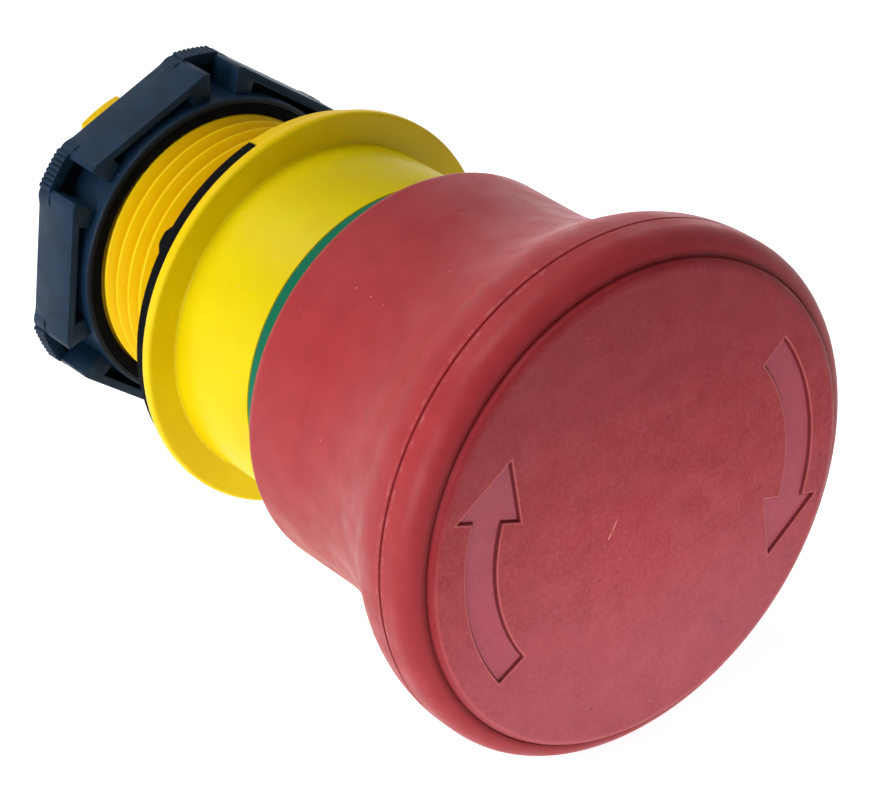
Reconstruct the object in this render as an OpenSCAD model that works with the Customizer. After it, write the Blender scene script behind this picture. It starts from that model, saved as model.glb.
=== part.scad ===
// Emergency stop button: a 40 mm mushroom head, pushed to latch and twisted to release,
// on a threaded barrel for a 22 mm panel hole.
//
// Every sub-part is modelled along its own +Z, from the panel towards the user, with Z = 0
// on the panel's front face. upright() then turns the whole button so that its face looks
// along -Y and 12 o'clock is +Z, as it sits in a vertical panel.

/* [Panel fixing] */
// Outside diameter of the barrel's thread
thread_d = 21.9; // [21.7:0.05:22]
// Thread pitch
thread_pitch = 1.5; // [1.25:0.25:1.5]
// Reach of the barrel behind the panel's front face
barrel_len = 20.8; // [20.5:0.1:24]
// Step from the thread's crests in to the plain spigot at the barrel's rear end
spigot_step = 0.55; // [0.45:0.05:0.75]
// Length of the plain spigot
spigot_len = 3.4; // [2.5:0.1:4]
// Width of the flange that covers the panel hole, outside the collar
flange_w = 2.4; // [1.8:0.1:3.6]
// Thickness of the flange
flange_t = 0.85; // [0.8:0.05:1.2]
// Distance from the flange's edge in to the gasket's edge
gasket_inset = 0.55; // [0.2:0.05:1]
// Thickness of the flange gasket
gasket_t = 1.6; // [1:0.1:2]
// Width of the key that stops the barrel turning in the panel
key_w = 3; // [2:0.1:3.2]
// Reach of the key behind the panel's front face
key_len = 2.4; // [1:0.1:2.5]

/* [Collar] */
// Diameter of the collar that stands in front of the panel
collar_d = 26.7; // [26.4:0.1:27]
// Height of the collar's top above the panel
collar_top = 21.6; // [20.6:0.1:22]
// Thickness of the collar's wall
collar_wall = 2.15; // [1.9:0.05:2.4]
// Height at which the green indicator ring starts
indicator_z = 11.4; // [9:0.1:12.5]
// Length of the green indicator ring
indicator_len = 7.2; // [5:0.1:7.2]

/* [Mushroom head] */
// Diameter of the head's rim
head_d = 40; // [38:0.5:42]
// Thickness of the skirt's wall at the neck
skirt_wall = 1.9; // [1.7:0.1:2.4]
// Height of the skirt's lower edge above the panel
skirt_z = 14.3; // [13.5:0.1:15]
// Height of the parting line between the skirt and the front
seam_z = 35.7; // [35.2:0.1:36.1]
// Height of the rim in front of the parting line
rim_h = 3.1; // [2.7:0.1:3.6]
// Height of the face's centre above the rim's front edge
crown_h = 1.4; // [1.2:0.1:2.2]
// Width of the rim around the face disc
rim_w = 1.7; // [1.5:0.1:3]
// Depth of the arrows pressed into the face
arrow_depth = 0.45; // [0.2:0.05:0.6]

/* [Mounting nut] */
// Distance from the nut's hub out to its flats
nut_rim = 1.05; // [0.9:0.05:1.4]
// Distance from the flats out to the knurled corners
corner_reach = 1.35; // [1.1:0.05:1.5]
// Thickness of the nut
nut_t = 4.6; // [4.2:0.1:5.2]
// Distance from the panel's front face to the front of the nut's walls
nut_z = 11.4; // [10.8:0.1:12]
// Grip teeth on each corner
teeth = 8; // [5:1:9]

/* [Motion] */
// Travel of the head when it is pushed
push_travel = 4.5; // [4:0.1:4.6]
// Twist that releases the latch, in degrees
twist_angle = 45; // [30:5:60]

/* [Clearances] */
// Radial clearance of a turning or sliding fit
run_gap = 0.07; // [0.03:0.01:0.1]
// Radial clearance between a seated piece and its seat
seat_gap = 0.05; // [0.02:0.01:0.1]

/* [Hidden] */
$fn = 96;
eps = 0.02;

// Barrel and thread: a 60 degree form with a crest of an eighth and a root of a quarter pitch
thread_r = thread_d / 2;
thread_depth = 0.61 * thread_pitch;
thread_root_r = thread_r - thread_depth;
thread_crest = thread_pitch / 8;
thread_root = thread_pitch / 4;
thread_flank = (thread_pitch - thread_crest - thread_root) / 2;
thread_start = 0.5;
shoulder_rise = 0.4;
threads = floor((barrel_len - spigot_len - thread_start) / thread_pitch);
barrel_wall = 1.135;
barrel_bore_r = thread_root_r - barrel_wall;
spigot_r = thread_r - spigot_step;
spigot_lead = 0.4;
shoulder_bore_r = barrel_bore_r - 0.7;
shoulder_z = -3;
key_r = thread_r + 1.15;
boss_angle = 17;

// Flange and collar
flange_top = gasket_t + flange_t;
flange_round = 0.35;
collar_r = collar_d / 2;
collar_bore_r = collar_r - collar_wall;
flange_r = collar_r + flange_w;
gasket_r = flange_r - gasket_inset;
boss_r = gasket_r - 0.1;
collar_floor = 3.6;
collar_step_r = collar_r - 0.75;
indicator_top = indicator_z + indicator_len;

// Latch: an open ring of wire in a cage, and the cone on the plunger that snaps through it
wire_d = 0.8;
shaft_r = 5.95;
cone_r = shaft_r + 1.25;
latch_r = shaft_r + seat_gap + wire_d / 2;
latch_z = collar_floor + 4;
latch_gap_angle = 70;
cage_bore_r = cone_r + 0.25;
cage_groove_r = cone_r + wire_d;
latch_room = collar_bore_r - cage_groove_r;
cage_r = cage_groove_r + 0.28 * latch_room;
cage_floor_t = 1;
cage_top = collar_floor + 7;
cone_z = latch_z + 0.7;
cone_top = cone_z + 2.5;

// Plunger and its guide
neck_shaft_r = shaft_r - 0.95;
plunger_rear = -barrel_len + 3;
plunger_top = seam_z - 3.5;
bush_z = [plunger_rear + 0.8, shoulder_z];
spline_r = cone_r;
spline_w = 1.8;
spline_z = [bush_z[0] + 1, bush_z[0] + 10];
ring_t = 1.2;
ring_gap_half = 12;
foot_r = shaft_r + 1.55;
foot_t = 1.8;
foot_stem_r = 2.5;
foot_stem_len = 7.5;

// Release hub: the turning sleeve that joins the head to the plunger
sleeve_r = shaft_r + 0.45;
sleeve_shoulder_r = sleeve_r + 0.8;
sleeve_z = cone_top + 0.3;
tooth_z = sleeve_z + 3.4;
plate_z = tooth_z + 3.6;
plate_t = 1.5;
hub_z = plunger_top - 2.6;
hub_top = plunger_top - 0.1;
stop_z = plunger_top - 8.2;
stop_r = 0.75;
stop_len = 2 * sleeve_shoulder_r - 0.8;

// Springs
coil_wire = 0.9;
return_coil_r = cage_groove_r + 0.58 * latch_room;
torsion_coil_r = sleeve_shoulder_r + 0.3 + coil_wire / 2;

// Screws
washer_t = 0.8;
washer_r = neck_shaft_r + 2;
screw_r = 2;
screw_head_r = 3.8;
screw_head_h = 2;
screw_reach = 6.6;
screw_slot_w = 0.9;
screw_slot_len = 4.4;
hub_screw_r = 1.25;
hub_screw_head_r = 2;
hub_screw_head_h = 1.4;
hub_screw_hole_r = 1.6;
hub_screw_boss_r = 2.6;
web_hole_r = washer_r + 1;
hub_screw_pitch_r = web_hole_r + hub_screw_boss_r;
hub_r = hub_screw_pitch_r + hub_screw_boss_r;

// Head shell
head_r = head_d / 2;
skirt_bore_r = collar_r + 0.4;
neck_r = skirt_bore_r + skirt_wall;
flare_round = 8;
flare = head_r - neck_r;
neck_arc_z = skirt_z + 6.6;
flare_top = seam_z + 0.2;
neck_arc = (pow(flare_top - neck_arc_z, 2) + pow(flare, 2)) / 2 / flare - flare_round;
skirt_bore_top = collar_top + push_travel + 0.7;
skirt_edge_round = 0.85;
flare_core_r = head_r - 3.6;
web_z = hub_top;
web_t = 1.4;
rim_z = seam_z + rim_h;
crown_z = rim_z + crown_h;
spigot_ring_r = head_r - 2.6;
seam_bevel = 0.12;
rim_round = 1.8;
plate_under = seam_z + 0.2;
recess_z = seam_z + 1.4;
crown_r = 207;
face_r = head_r - rim_w;
face_round = 0.7;
face_boss_r = 5.5;
seal_wire = 0.8;
seal_r = face_r - 2.7;

// Arrows on the face, as seen by the user
arrow_inner_r = face_r - 5.15;
arrow_outer_r = face_r - 2.6;
arrow_tail = 36;
arrow_neck = -16;
arrow_tip = -34.5;
barb_inner_r = face_r - 6.7;
barb_outer_r = face_r - 1.2;

// Nut
nut_corner_angle = 24.3;
nut_rear = -nut_z - nut_t;
nut_bore_r = thread_r + run_gap;
nut_hub_z = -nut_z + 0.8;
thrust_r = nut_bore_r + 0.83;
thrust_t = 1.7;
nut_hub_r = thrust_r + 0.5;
nut_flat_r = nut_hub_r + nut_rim;
nut_corner_r = nut_flat_r + corner_reach;
nut_wall = 0.7;
nut_web = 1;
corner_t = 1.4;
corner_half = 8.3;
corner_wall = 0.85;
corner_open_half = 5.3;
rib_half = 17.5;
tooth_angle = 1.6;
tooth_cut_r = 0.25;

// ---------------------------------------------------------------- shared shapes

// Turns a sub-part from its own +Z axis to the row's -Y
module upright() {
    rotate([90, 0, 0]) children();
}

// Straight tube between two heights
module tube(outer_r, inner_r, low, high) {
    difference() {
        translate([0, 0, low]) cylinder(r = outer_r, h = high - low);
        translate([0, 0, low - 1]) cylinder(r = inner_r, h = high - low + 2);
    }
}

// Disc between two heights
module disc(r, low, high) {
    translate([0, 0, low]) cylinder(r = r, h = high - low);
}

// Flat wedge from the axis, centred on an angle
module wedge_2d(middle, half, reach) {
    polygon([
        [0, 0],
        [reach * cos(middle - half), reach * sin(middle - half)],
        [reach * 1.2 * cos(middle), reach * 1.2 * sin(middle)],
        [reach * cos(middle + half), reach * sin(middle + half)]
    ]);
}

// Part of a tube's section, centred on an angle
module sector_2d(outer_r, inner_r, middle, half) {
    intersection() {
        difference() {
            circle(r = outer_r);
            circle(r = inner_r);
        }
        wedge_2d(middle, half, outer_r * 1.2);
    }
}

// Points of one ring of a coil's wire, at a turn angle and height
function coil_ring(r, wire, angle, z, sides) = [
    for (k = [0 : sides - 1])
        let (a = 360 * k / sides, reach = r + wire / 2 * cos(a))
            [reach * cos(angle), reach * sin(angle), z + wire / 2 * sin(a)]
];

// Coil of round wire whose ends lie on two heights
module coil(r, wire, low, high, turns, steps = 24, sides = 8) {
    rings = round(turns * steps);
    rise = (high - low - wire) / rings;
    points = [
        for (i = [0 : rings])
            each coil_ring(r, wire, 360 * i / steps, low + wire / 2 + rise * i, sides)
    ];
    wall = [
        for (i = [0 : rings - 1], k = [0 : sides - 1])
            let (a = i * sides + k, b = i * sides + (k + 1) % sides)
                [a, a + sides, b + sides, b]
    ];
    start = [for (k = [0 : sides - 1]) k];
    end = [for (k = [sides - 1 : -1 : 0]) rings * sides + k];
    polyhedron(points = points, faces = concat([start], wall, [end]));
}

// Places its children at each hub screw
module at_hub_screws() {
    for (a = [30, 150, 270]) {
        rotate([0, 0, a]) translate([hub_screw_pitch_r, 0, 0]) children();
    }
}

// ---------------------------------------------------------------- housing

// Half section of the barrel's thread, from its sloped shoulder down to the spigot
module thread_2d() {
    ridge = [
        for (i = [0 : threads - 1])
            let (z = -thread_start - i * thread_pitch)
                each [
                    [thread_root_r, z],
                    [thread_r, z - thread_flank],
                    [thread_r, z - thread_flank - thread_crest],
                    [thread_root_r, z - 2 * thread_flank - thread_crest]
                ]
    ];
    rear = -barrel_len + spigot_len;
    polygon(concat(
        [
            [shoulder_bore_r, gasket_t],
            [thread_r, gasket_t],
            [thread_r, shoulder_rise],
            [thread_root_r, shoulder_rise - thread_flank]
        ],
        ridge,
        [[thread_root_r, rear], [shoulder_bore_r, rear]]
    ));
}

// Half section of the flange, collar and spigot
module housing_2d() {
    thread_2d();
    // spigot, with a lead-in at its end
    polygon([
        [shoulder_bore_r, -barrel_len],
        [spigot_r - spigot_lead, -barrel_len],
        [spigot_r, -barrel_len + spigot_lead],
        [spigot_r, -barrel_len + spigot_len],
        [shoulder_bore_r, -barrel_len + spigot_len]
    ]);
    // flange, with a small round on its front edge
    translate([shoulder_bore_r, gasket_t])
        square([flange_r - flange_round - shoulder_bore_r, flange_t]);
    translate([shoulder_bore_r, gasket_t])
        square([flange_r - shoulder_bore_r, flange_t - flange_round]);
    translate([flange_r - flange_round, flange_top - flange_round]) circle(r = flange_round);
    // collar, stepped in for the indicator ring, with a bead that holds the wiper seal
    translate([shoulder_bore_r, gasket_t])
        square([collar_r - shoulder_bore_r, indicator_z - gasket_t]);
    translate([shoulder_bore_r, gasket_t])
        square([collar_step_r - shoulder_bore_r, collar_top - gasket_t]);
    translate([collar_step_r - eps, collar_top - 0.7]) square([0.3, 0.7]);
}

// Barrel, flange and collar in one moulding
module housing() {
    color("#E6C619")
    difference() {
        union() {
            rotate_extrude() housing_2d();
            // flange boss that fills the gasket's break, and the key below it
            translate([0, 0, -eps]) linear_extrude(gasket_t + 2 * eps)
                sector_2d(boss_r, thread_root_r - 0.3, 90, boss_angle);
            translate([-key_w / 2, thread_root_r - 0.5, -key_len])
                cube([key_w, key_r - thread_root_r + 0.5, key_len]);
        }
        disc(barrel_bore_r, -barrel_len - 1, shoulder_z);
        disc(collar_bore_r, collar_floor, collar_top + 1);
        // groove for the retaining ring
        disc(barrel_bore_r + 0.45, bush_z[0] - ring_t - seat_gap, bush_z[0]);
    }
}

// Green sleeve that the skirt uncovers when the button is released
module indicator_ring() {
    color("#007A5A") tube(collar_r - 0.05, collar_step_r, indicator_z, indicator_top);
}

// Rubber gasket under the flange, broken at 12 o'clock for the flange boss
module flange_gasket() {
    color("#15181A")
    difference() {
        tube(gasket_r, thread_r + seat_gap, 0, gasket_t);
        translate([0, 0, -1]) linear_extrude(gasket_t + 2)
            sector_2d(2 * gasket_r, thread_r - 1, 90, boss_angle + 0.5);
    }
}

// Lip seal between the collar and the skirt's bore
module wiper_seal() {
    lip_r = skirt_bore_r - 0.1;
    top = collar_top - 0.7;
    color("#1C1C1C")
    rotate_extrude() polygon([
        [collar_step_r, indicator_top],
        [collar_step_r + 0.5, indicator_top],
        [lip_r, top - 0.5],
        [lip_r, top],
        [collar_step_r, top]
    ]);
}

// Cage in the collar that holds the latch wire and seats the return spring
module latch_cage() {
    groove = wire_d + 0.2;
    color("#8A8F94")
    difference() {
        union() {
            disc(collar_bore_r - seat_gap, collar_floor, collar_floor + cage_floor_t);
            disc(cage_r, collar_floor, cage_top);
        }
        disc(cage_bore_r, collar_floor - 1, cage_top + 1);
        disc(cage_groove_r, latch_z - groove / 2, latch_z + groove / 2);
    }
}

// Open ring of spring wire that the plunger's cone snaps through
module latch_spring() {
    color("#B8BCC0")
    translate([0, 0, latch_z]) rotate([0, 0, 90 + latch_gap_angle / 2])
        rotate_extrude(angle = 360 - latch_gap_angle)
            translate([latch_r, 0]) circle(d = wire_d, $fn = 24);
}

// Bush that guides the plunger and its two splines
module guide_bush() {
    color("#E8E6DC")
    difference() {
        tube(barrel_bore_r - seat_gap, shaft_r + run_gap, bush_z[0], bush_z[1]);
        translate([-spline_r - 0.2, -spline_w / 2 - 0.1, bush_z[0] - 1])
            cube([2 * spline_r + 0.4, spline_w + 0.2, bush_z[1] - bush_z[0] + 2]);
    }
}

// Snap ring that keeps the bush in the barrel
module retaining_ring() {
    color("#3A3D40")
    difference() {
        tube(barrel_bore_r + 0.4, foot_r + 0.4, bush_z[0] - ring_t, bush_z[0]);
        translate([0, 0, bush_z[0] - ring_t - 1]) linear_extrude(ring_t + 2)
            wedge_2d(270, ring_gap_half, thread_r);
    }
}

// ---------------------------------------------------------------- plunger

// Sliding shaft: splined rear, latch cone and slim neck that carries the head
module plunger() {
    color("#D9D6CB")
    difference() {
        union() {
            disc(shaft_r, plunger_rear, cone_z + eps);
            translate([0, 0, cone_z])
                cylinder(r1 = shaft_r, r2 = cone_r, h = cone_top - cone_z - 0.4);
            disc(cone_r, cone_top - 0.4 - eps, cone_top);
            disc(neck_shaft_r, cone_top - eps, plunger_top);
            translate([-spline_r, -spline_w / 2, spline_z[0]])
                cube([2 * spline_r, spline_w, spline_z[1] - spline_z[0]]);
        }
        // screw hole, foot socket and stop pin hole
        disc(screw_r + seat_gap, plunger_top - screw_reach - 0.3, plunger_top + 1);
        disc(foot_stem_r + seat_gap, plunger_rear - 1, plunger_rear + foot_stem_len + 0.5);
        translate([-10, 0, stop_z]) rotate([0, 90, 0]) cylinder(r = stop_r, h = 20);
    }
}

// Thrust washer that the return spring pushes against the release hub
module spring_plate() {
    color("#C9CCD0")
    tube(collar_bore_r - 0.3, sleeve_r + run_gap, plate_z, plate_z + plate_t);
}

module return_spring() {
    color("#C9CCD0")
    coil(return_coil_r, coil_wire, collar_floor + cage_floor_t, plate_z, 4.5);
}

// Foot that presses the contact block behind the panel
module pusher_foot() {
    color("#B0202A") {
        disc(foot_r, plunger_rear - foot_t, plunger_rear);
        disc(foot_stem_r, plunger_rear - eps, plunger_rear + foot_stem_len);
    }
}

// Cross pin that limits the twist
module stop_pin() {
    color("#B8BCC0")
    translate([-stop_len / 2, 0, stop_z]) rotate([0, 90, 0]) cylinder(r = stop_r, h = stop_len);
}

module cap_screw() {
    seat = plunger_top + washer_t;
    color("#9EA3A8")
    difference() {
        union() {
            disc(screw_r, plunger_top - screw_reach, seat + eps);
            disc(screw_head_r, seat, seat + screw_head_h);
        }
        // cross slot
        for (a = [0, 90]) {
            rotate([0, 0, a])
                translate([-screw_slot_len / 2, -screw_slot_w / 2, seat + screw_head_h - 0.9])
                    cube([screw_slot_len, screw_slot_w, 2]);
        }
    }
}

module screw_washer() {
    color("#9EA3A8")
    tube(washer_r, screw_r + seat_gap, plunger_top, plunger_top + washer_t);
}

// ---------------------------------------------------------------- head

// Half section of the skirt: rounded lower edge, concave neck and flare up to the seam.
// The flare's corner is rounded by a circle that touches the neck arc and the rim's side.
module skirt_2d() {
    neck_centre = [neck_r + neck_arc, neck_arc_z];
    round_centre = [head_r - flare_round, flare_top];
    toward = (neck_centre - round_centre) / norm(neck_centre - round_centre);
    touch = round_centre + flare_round * toward;
    corner = neck_arc_z + sqrt(pow(neck_arc, 2) - pow(neck_centre[0] - head_r, 2));
    difference() {
        translate([skirt_bore_r, skirt_z])
            square([head_r - skirt_bore_r, seam_z - skirt_z]);
        // neck
        translate(neck_centre) circle(r = neck_arc, $fn = 256);
        translate([neck_r, skirt_z - 1]) square([20, neck_arc_z - skirt_z + 1]);
        // rounded lower edge
        difference() {
            translate([neck_r - skirt_edge_round, skirt_z - 1])
                square([2, skirt_edge_round + 1]);
            translate([neck_r - skirt_edge_round, skirt_z + skirt_edge_round])
                circle(r = skirt_edge_round);
        }
        // rounded flare
        difference() {
            polygon([
                touch,
                [head_r + 0.5, corner - 0.5],
                [head_r + 0.5, round_centre[1]],
                round_centre
            ]);
            translate(round_centre) circle(r = flare_round);
        }
        // fine bevel at the parting line
        polygon([
            [head_r - seam_bevel, seam_z + eps],
            [head_r + 1, seam_z + eps],
            [head_r + 1, seam_z - seam_bevel],
            [head_r, seam_z - seam_bevel]
        ]);
    }
}

// Rear shell of the head: skirt, neck and flare, with the web that is clamped on the hub
module cap_skirt() {
    color("#B23A42")
    difference() {
        union() {
            rotate_extrude() skirt_2d();
            disc(skirt_bore_r + 1, web_z, web_z + web_t);
        }
        // cored flare below the web, and the seat of the front's spigot above it
        rotate_extrude() polygon([
            [0, skirt_bore_top],
            [skirt_bore_r, skirt_bore_top],
            [flare_core_r, web_z - 1],
            [flare_core_r, web_z],
            [0, web_z]
        ]);
        disc(spigot_ring_r + seat_gap, web_z + web_t, seam_z + 1);
        disc(web_hole_r, web_z - 1, web_z + web_t + 1);
        at_hub_screws() disc(hub_screw_hole_r, web_z - 1, web_z + web_t + 1);
    }
}

// Half section of the front: rounded rim, plate and the spigot inside the skirt
module front_2d() {
    difference() {
        union() {
            translate([0, seam_z]) square([head_r, rim_z - rim_round - seam_z]);
            translate([0, seam_z]) square([head_r - rim_round, rim_z - seam_z]);
            translate([head_r - rim_round, rim_z - rim_round]) circle(r = rim_round);
            translate([spigot_ring_r - 1.2, web_z + web_t + seat_gap])
                square([1.2, seam_z - web_z - web_t]);
        }
        // rim's round below the parting line
        translate([spigot_ring_r, seam_z - 2]) square([head_r, 2]);
        // recess for the face disc, open middle and underside
        translate([-1, recess_z]) square([face_r + 0.2 + 1, 10]);
        translate([-1, seam_z - 1]) square([face_boss_r + 0.1 + 1, 10]);
        translate([-1, seam_z - 1]) square([spigot_ring_r - 1.2 + 1, plate_under - seam_z + 1]);
        // groove for the face seal
        translate([seal_r - seal_wire / 2 - 0.1, recess_z - seal_wire])
            square([seal_wire + 0.2, 3]);
        // fine bevel at the parting line
        polygon([
            [head_r - seam_bevel, seam_z - eps],
            [head_r + 1, seam_z - eps],
            [head_r + 1, seam_z + seam_bevel],
            [head_r, seam_z + seam_bevel]
        ]);
    }
}

// Front shell of the head: rim and face plate, with three bosses for the hub screws
module cap_front() {
    color("#B23A42")
    difference() {
        union() {
            rotate_extrude() front_2d();
            at_hub_screws() disc(hub_screw_boss_r, web_z + web_t, plate_under + eps);
        }
        at_hub_screws() disc(hub_screw_r + seat_gap, web_z, plate_under + 0.5);
    }
}

// One curved arrow, turning clockwise
module arrow_2d() {
    middle = (arrow_tail + arrow_neck) / 2;
    tip_r = (arrow_inner_r + arrow_outer_r) / 2;
    sector_2d(arrow_outer_r, arrow_inner_r, middle, (arrow_tail - arrow_neck) / 2 + 0.5);
    polygon([
        [barb_inner_r * cos(arrow_neck), barb_inner_r * sin(arrow_neck)],
        [barb_outer_r * cos(arrow_neck), barb_outer_r * sin(arrow_neck)],
        [tip_r * cos(arrow_tip), tip_r * sin(arrow_tip)]
    ]);
}

// Half section of the face disc: a shallow crown with a rounded edge
module face_2d() {
    edge_z = crown_z - pow(face_r - face_round, 2) / 2 / crown_r - face_round;
    intersection() {
        union() {
            translate([0, recess_z]) square([face_r, edge_z - recess_z]);
            translate([0, recess_z]) square([face_r - face_round, crown_z - recess_z + 1]);
            translate([face_r - face_round, edge_z]) circle(r = face_round);
        }
        translate([0, crown_z - crown_r]) circle(r = crown_r, $fn = 1440);
    }
}

// Crowned face disc with the two release arrows
module face_disc() {
    arrow_floor = crown_z - pow((arrow_inner_r + arrow_outer_r) / 2, 2) / 2 / crown_r - arrow_depth;
    color("#A8434B")
    difference() {
        union() {
            rotate_extrude() face_2d();
            disc(face_boss_r, plate_under + 0.1, recess_z + eps);
        }
        for (turn = [0, 180]) {
            rotate([0, 0, turn]) translate([0, 0, arrow_floor]) linear_extrude(5) arrow_2d();
        }
    }
}

// Sealing ring between the face disc and the front
module face_seal() {
    color("#1C1C1C")
    rotate_extrude() translate([seal_r, recess_z - seal_wire / 2]) circle(d = seal_wire, $fn = 24);
}

// Sleeve that turns on the plunger's neck: release tooth, stop slots and screw flange
module release_hub() {
    slot = stop_r + 0.1;
    slot_start = -asin(slot / neck_shaft_r);
    color("#D9D6CB")
    difference() {
        union() {
            disc(shaft_r, sleeve_z, tooth_z + eps);
            disc(sleeve_r, tooth_z, hub_z);
            disc(sleeve_shoulder_r, plate_z + plate_t + seat_gap, hub_z + eps);
            disc(hub_r, hub_z, hub_top);
            translate([0, 0, sleeve_z]) linear_extrude(tooth_z - sleeve_z)
                sector_2d(cone_r, neck_shaft_r + 0.5, 90, 10);
        }
        disc(neck_shaft_r + run_gap, sleeve_z - 1, hub_top + 1);
        at_hub_screws() disc(hub_screw_hole_r, hub_z - 1, hub_top + 1);
        for (turn = [0, 180]) {
            rotate([0, 0, turn + slot_start]) rotate_extrude(angle = twist_angle - 2 * slot_start)
                translate([neck_shaft_r - 1, stop_z - slot])
                    square([sleeve_shoulder_r - neck_shaft_r + 2, 2 * slot]);
        }
    }
}

// Three screws that clamp the skirt's web between the hub and the front
module hub_screws() {
    color("#9EA3A8")
    at_hub_screws() {
        disc(hub_screw_r, hub_z - eps, plate_under - 0.1);
        disc(hub_screw_head_r, hub_z - hub_screw_head_h, hub_z);
    }
}

module torsion_spring() {
    color("#C9CCD0")
    coil(torsion_coil_r, coil_wire, plate_z + plate_t, hub_z, 5);
}

// ---------------------------------------------------------------- nut

// Friction ring in the nut's mouth, which bears on the panel and doesn't turn
module thrust_ring() {
    color("#121212")
    tube(thrust_r, nut_bore_r, nut_hub_z - thrust_t, nut_hub_z);
}

// Hexagon of the nut's walls, with its corners turned down below the knurl's grooves
module nut_walls_2d() {
    intersection() {
        circle(r = nut_flat_r / cos(30), $fn = 6);
        circle(r = nut_corner_r - tooth_cut_r);
    }
}

// Pockets behind the six flats
module nut_pockets_2d() {
    for (k = [0 : 5]) {
        difference() {
            intersection() {
                circle(r = (nut_flat_r - nut_wall) / cos(30), $fn = 6);
                wedge_2d(60 * k + 30, rib_half, 30);
            }
            circle(r = nut_hub_r);
        }
    }
}

// Mounting nut: a tall wall along each flat, with a low knurled rim between them
module mounting_nut() {
    seat = nut_hub_z - thrust_t - seat_gap;
    floor_z = nut_rear + nut_web;
    color("#26303A")
    rotate([0, 0, nut_corner_angle])
    difference() {
        union() {
            translate([0, 0, nut_rear]) linear_extrude(nut_t) nut_walls_2d();
            translate([0, 0, nut_rear]) linear_extrude(corner_t) {
                for (k = [0 : 5]) {
                    sector_2d(nut_corner_r, nut_hub_r, 60 * k, corner_half);
                }
            }
            // hub, with a stepped lip
            disc(nut_hub_r - 0.25, nut_rear + eps, nut_hub_z);
            disc(nut_hub_r - 0.05, nut_rear + eps, nut_hub_z - 0.2);
        }
        translate([0, 0, floor_z]) linear_extrude(nut_t) nut_pockets_2d();
        for (k = [0 : 5]) {
            // corner opening above the rim, and a slightly smaller pocket behind the rim
            translate([0, 0, nut_rear + corner_t]) linear_extrude(nut_t)
                sector_2d(2 * nut_corner_r, nut_hub_r, 60 * k, corner_open_half);
            translate([0, 0, floor_z]) linear_extrude(nut_t / 2)
                sector_2d(
                    nut_corner_r - corner_wall, nut_hub_r + 0.08, 60 * k, corner_open_half - 0.5);
            // knurl
            for (i = [0 : teeth]) {
                rotate([0, 0, 60 * k + (i - teeth / 2) * tooth_angle])
                    translate([nut_corner_r + 0.05, 0, nut_rear - 1])
                        cylinder(r = tooth_cut_r, h = nut_t + 2, $fn = 16);
            }
        }
        disc(nut_bore_r, nut_rear - 1, nut_hub_z + 1);
        disc(thrust_r + seat_gap, seat, nut_hub_z + 1);
    }
}

upright() housing();
upright() indicator_ring();
upright() flange_gasket();
upright() wiper_seal();
upright() latch_cage();
upright() latch_spring();
upright() guide_bush();
upright() retaining_ring();
upright() plunger();
upright() spring_plate();
upright() return_spring();
upright() pusher_foot();
upright() stop_pin();
upright() cap_screw();
upright() screw_washer();
upright() cap_skirt();
upright() cap_front();
upright() face_disc();
upright() face_seal();
upright() release_hub();
upright() hub_screws();
upright() torsion_spring();
upright() thrust_ring();
upright() mounting_nut();
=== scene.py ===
"""Looks for a panel emergency stop button, built round its CAD frame.

The button lies on its own axis: -Y points out of the face towards the user, +Z is 12 o'clock.
Sizes are written in millimetres, as a radius and a height in front of the panel, and are
turned to metres where a mesh is made.
"""

import logging
import math
from dataclasses import dataclass, field
from enum import Enum
from typing import Any, Iterable, Optional, Union

import bmesh
import bpy
from mathutils import Matrix, Vector


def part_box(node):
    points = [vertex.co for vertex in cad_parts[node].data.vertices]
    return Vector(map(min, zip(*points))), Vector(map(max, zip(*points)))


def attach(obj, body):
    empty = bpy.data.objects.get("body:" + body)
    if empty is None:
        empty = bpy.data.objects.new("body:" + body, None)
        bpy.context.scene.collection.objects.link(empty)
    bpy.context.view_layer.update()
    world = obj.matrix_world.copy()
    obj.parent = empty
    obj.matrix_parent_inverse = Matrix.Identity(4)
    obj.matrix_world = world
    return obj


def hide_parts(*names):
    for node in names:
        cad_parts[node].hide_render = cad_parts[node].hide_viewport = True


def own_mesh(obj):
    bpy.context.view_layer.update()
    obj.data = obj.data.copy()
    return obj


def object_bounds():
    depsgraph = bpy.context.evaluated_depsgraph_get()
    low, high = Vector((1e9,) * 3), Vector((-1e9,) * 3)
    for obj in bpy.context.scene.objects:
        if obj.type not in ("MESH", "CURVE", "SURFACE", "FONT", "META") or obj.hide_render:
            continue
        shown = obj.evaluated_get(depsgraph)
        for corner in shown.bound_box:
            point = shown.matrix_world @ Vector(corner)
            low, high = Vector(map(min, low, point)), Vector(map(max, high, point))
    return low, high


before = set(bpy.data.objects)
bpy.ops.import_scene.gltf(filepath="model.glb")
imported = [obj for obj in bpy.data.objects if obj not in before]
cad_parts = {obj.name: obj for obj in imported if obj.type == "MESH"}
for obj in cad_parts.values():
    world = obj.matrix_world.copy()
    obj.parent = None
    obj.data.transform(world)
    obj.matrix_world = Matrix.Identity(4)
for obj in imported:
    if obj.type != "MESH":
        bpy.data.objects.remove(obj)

CAD_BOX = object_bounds()
MM = 0.001
SAME_MM = 0.004
TOWARDS_USER = Vector((0.0, -1.0, 0.0))
CENTRE = Vector((0.0, 0.0, 0.0))
LOG = logging.getLogger("stop_button")

Profile = list[tuple[float, float]]
Socket = bpy.types.NodeSocket
Factor = Union[Socket, float, tuple[Socket, float, float, float, float]]


class Body(Enum):
    """Moving bodies of the button."""

    HOUSING = "housing"
    PLUNGER = "plunger"
    HEAD = "head"
    THRUST_RING = "thrust_ring"
    NUT = "nut"


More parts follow.
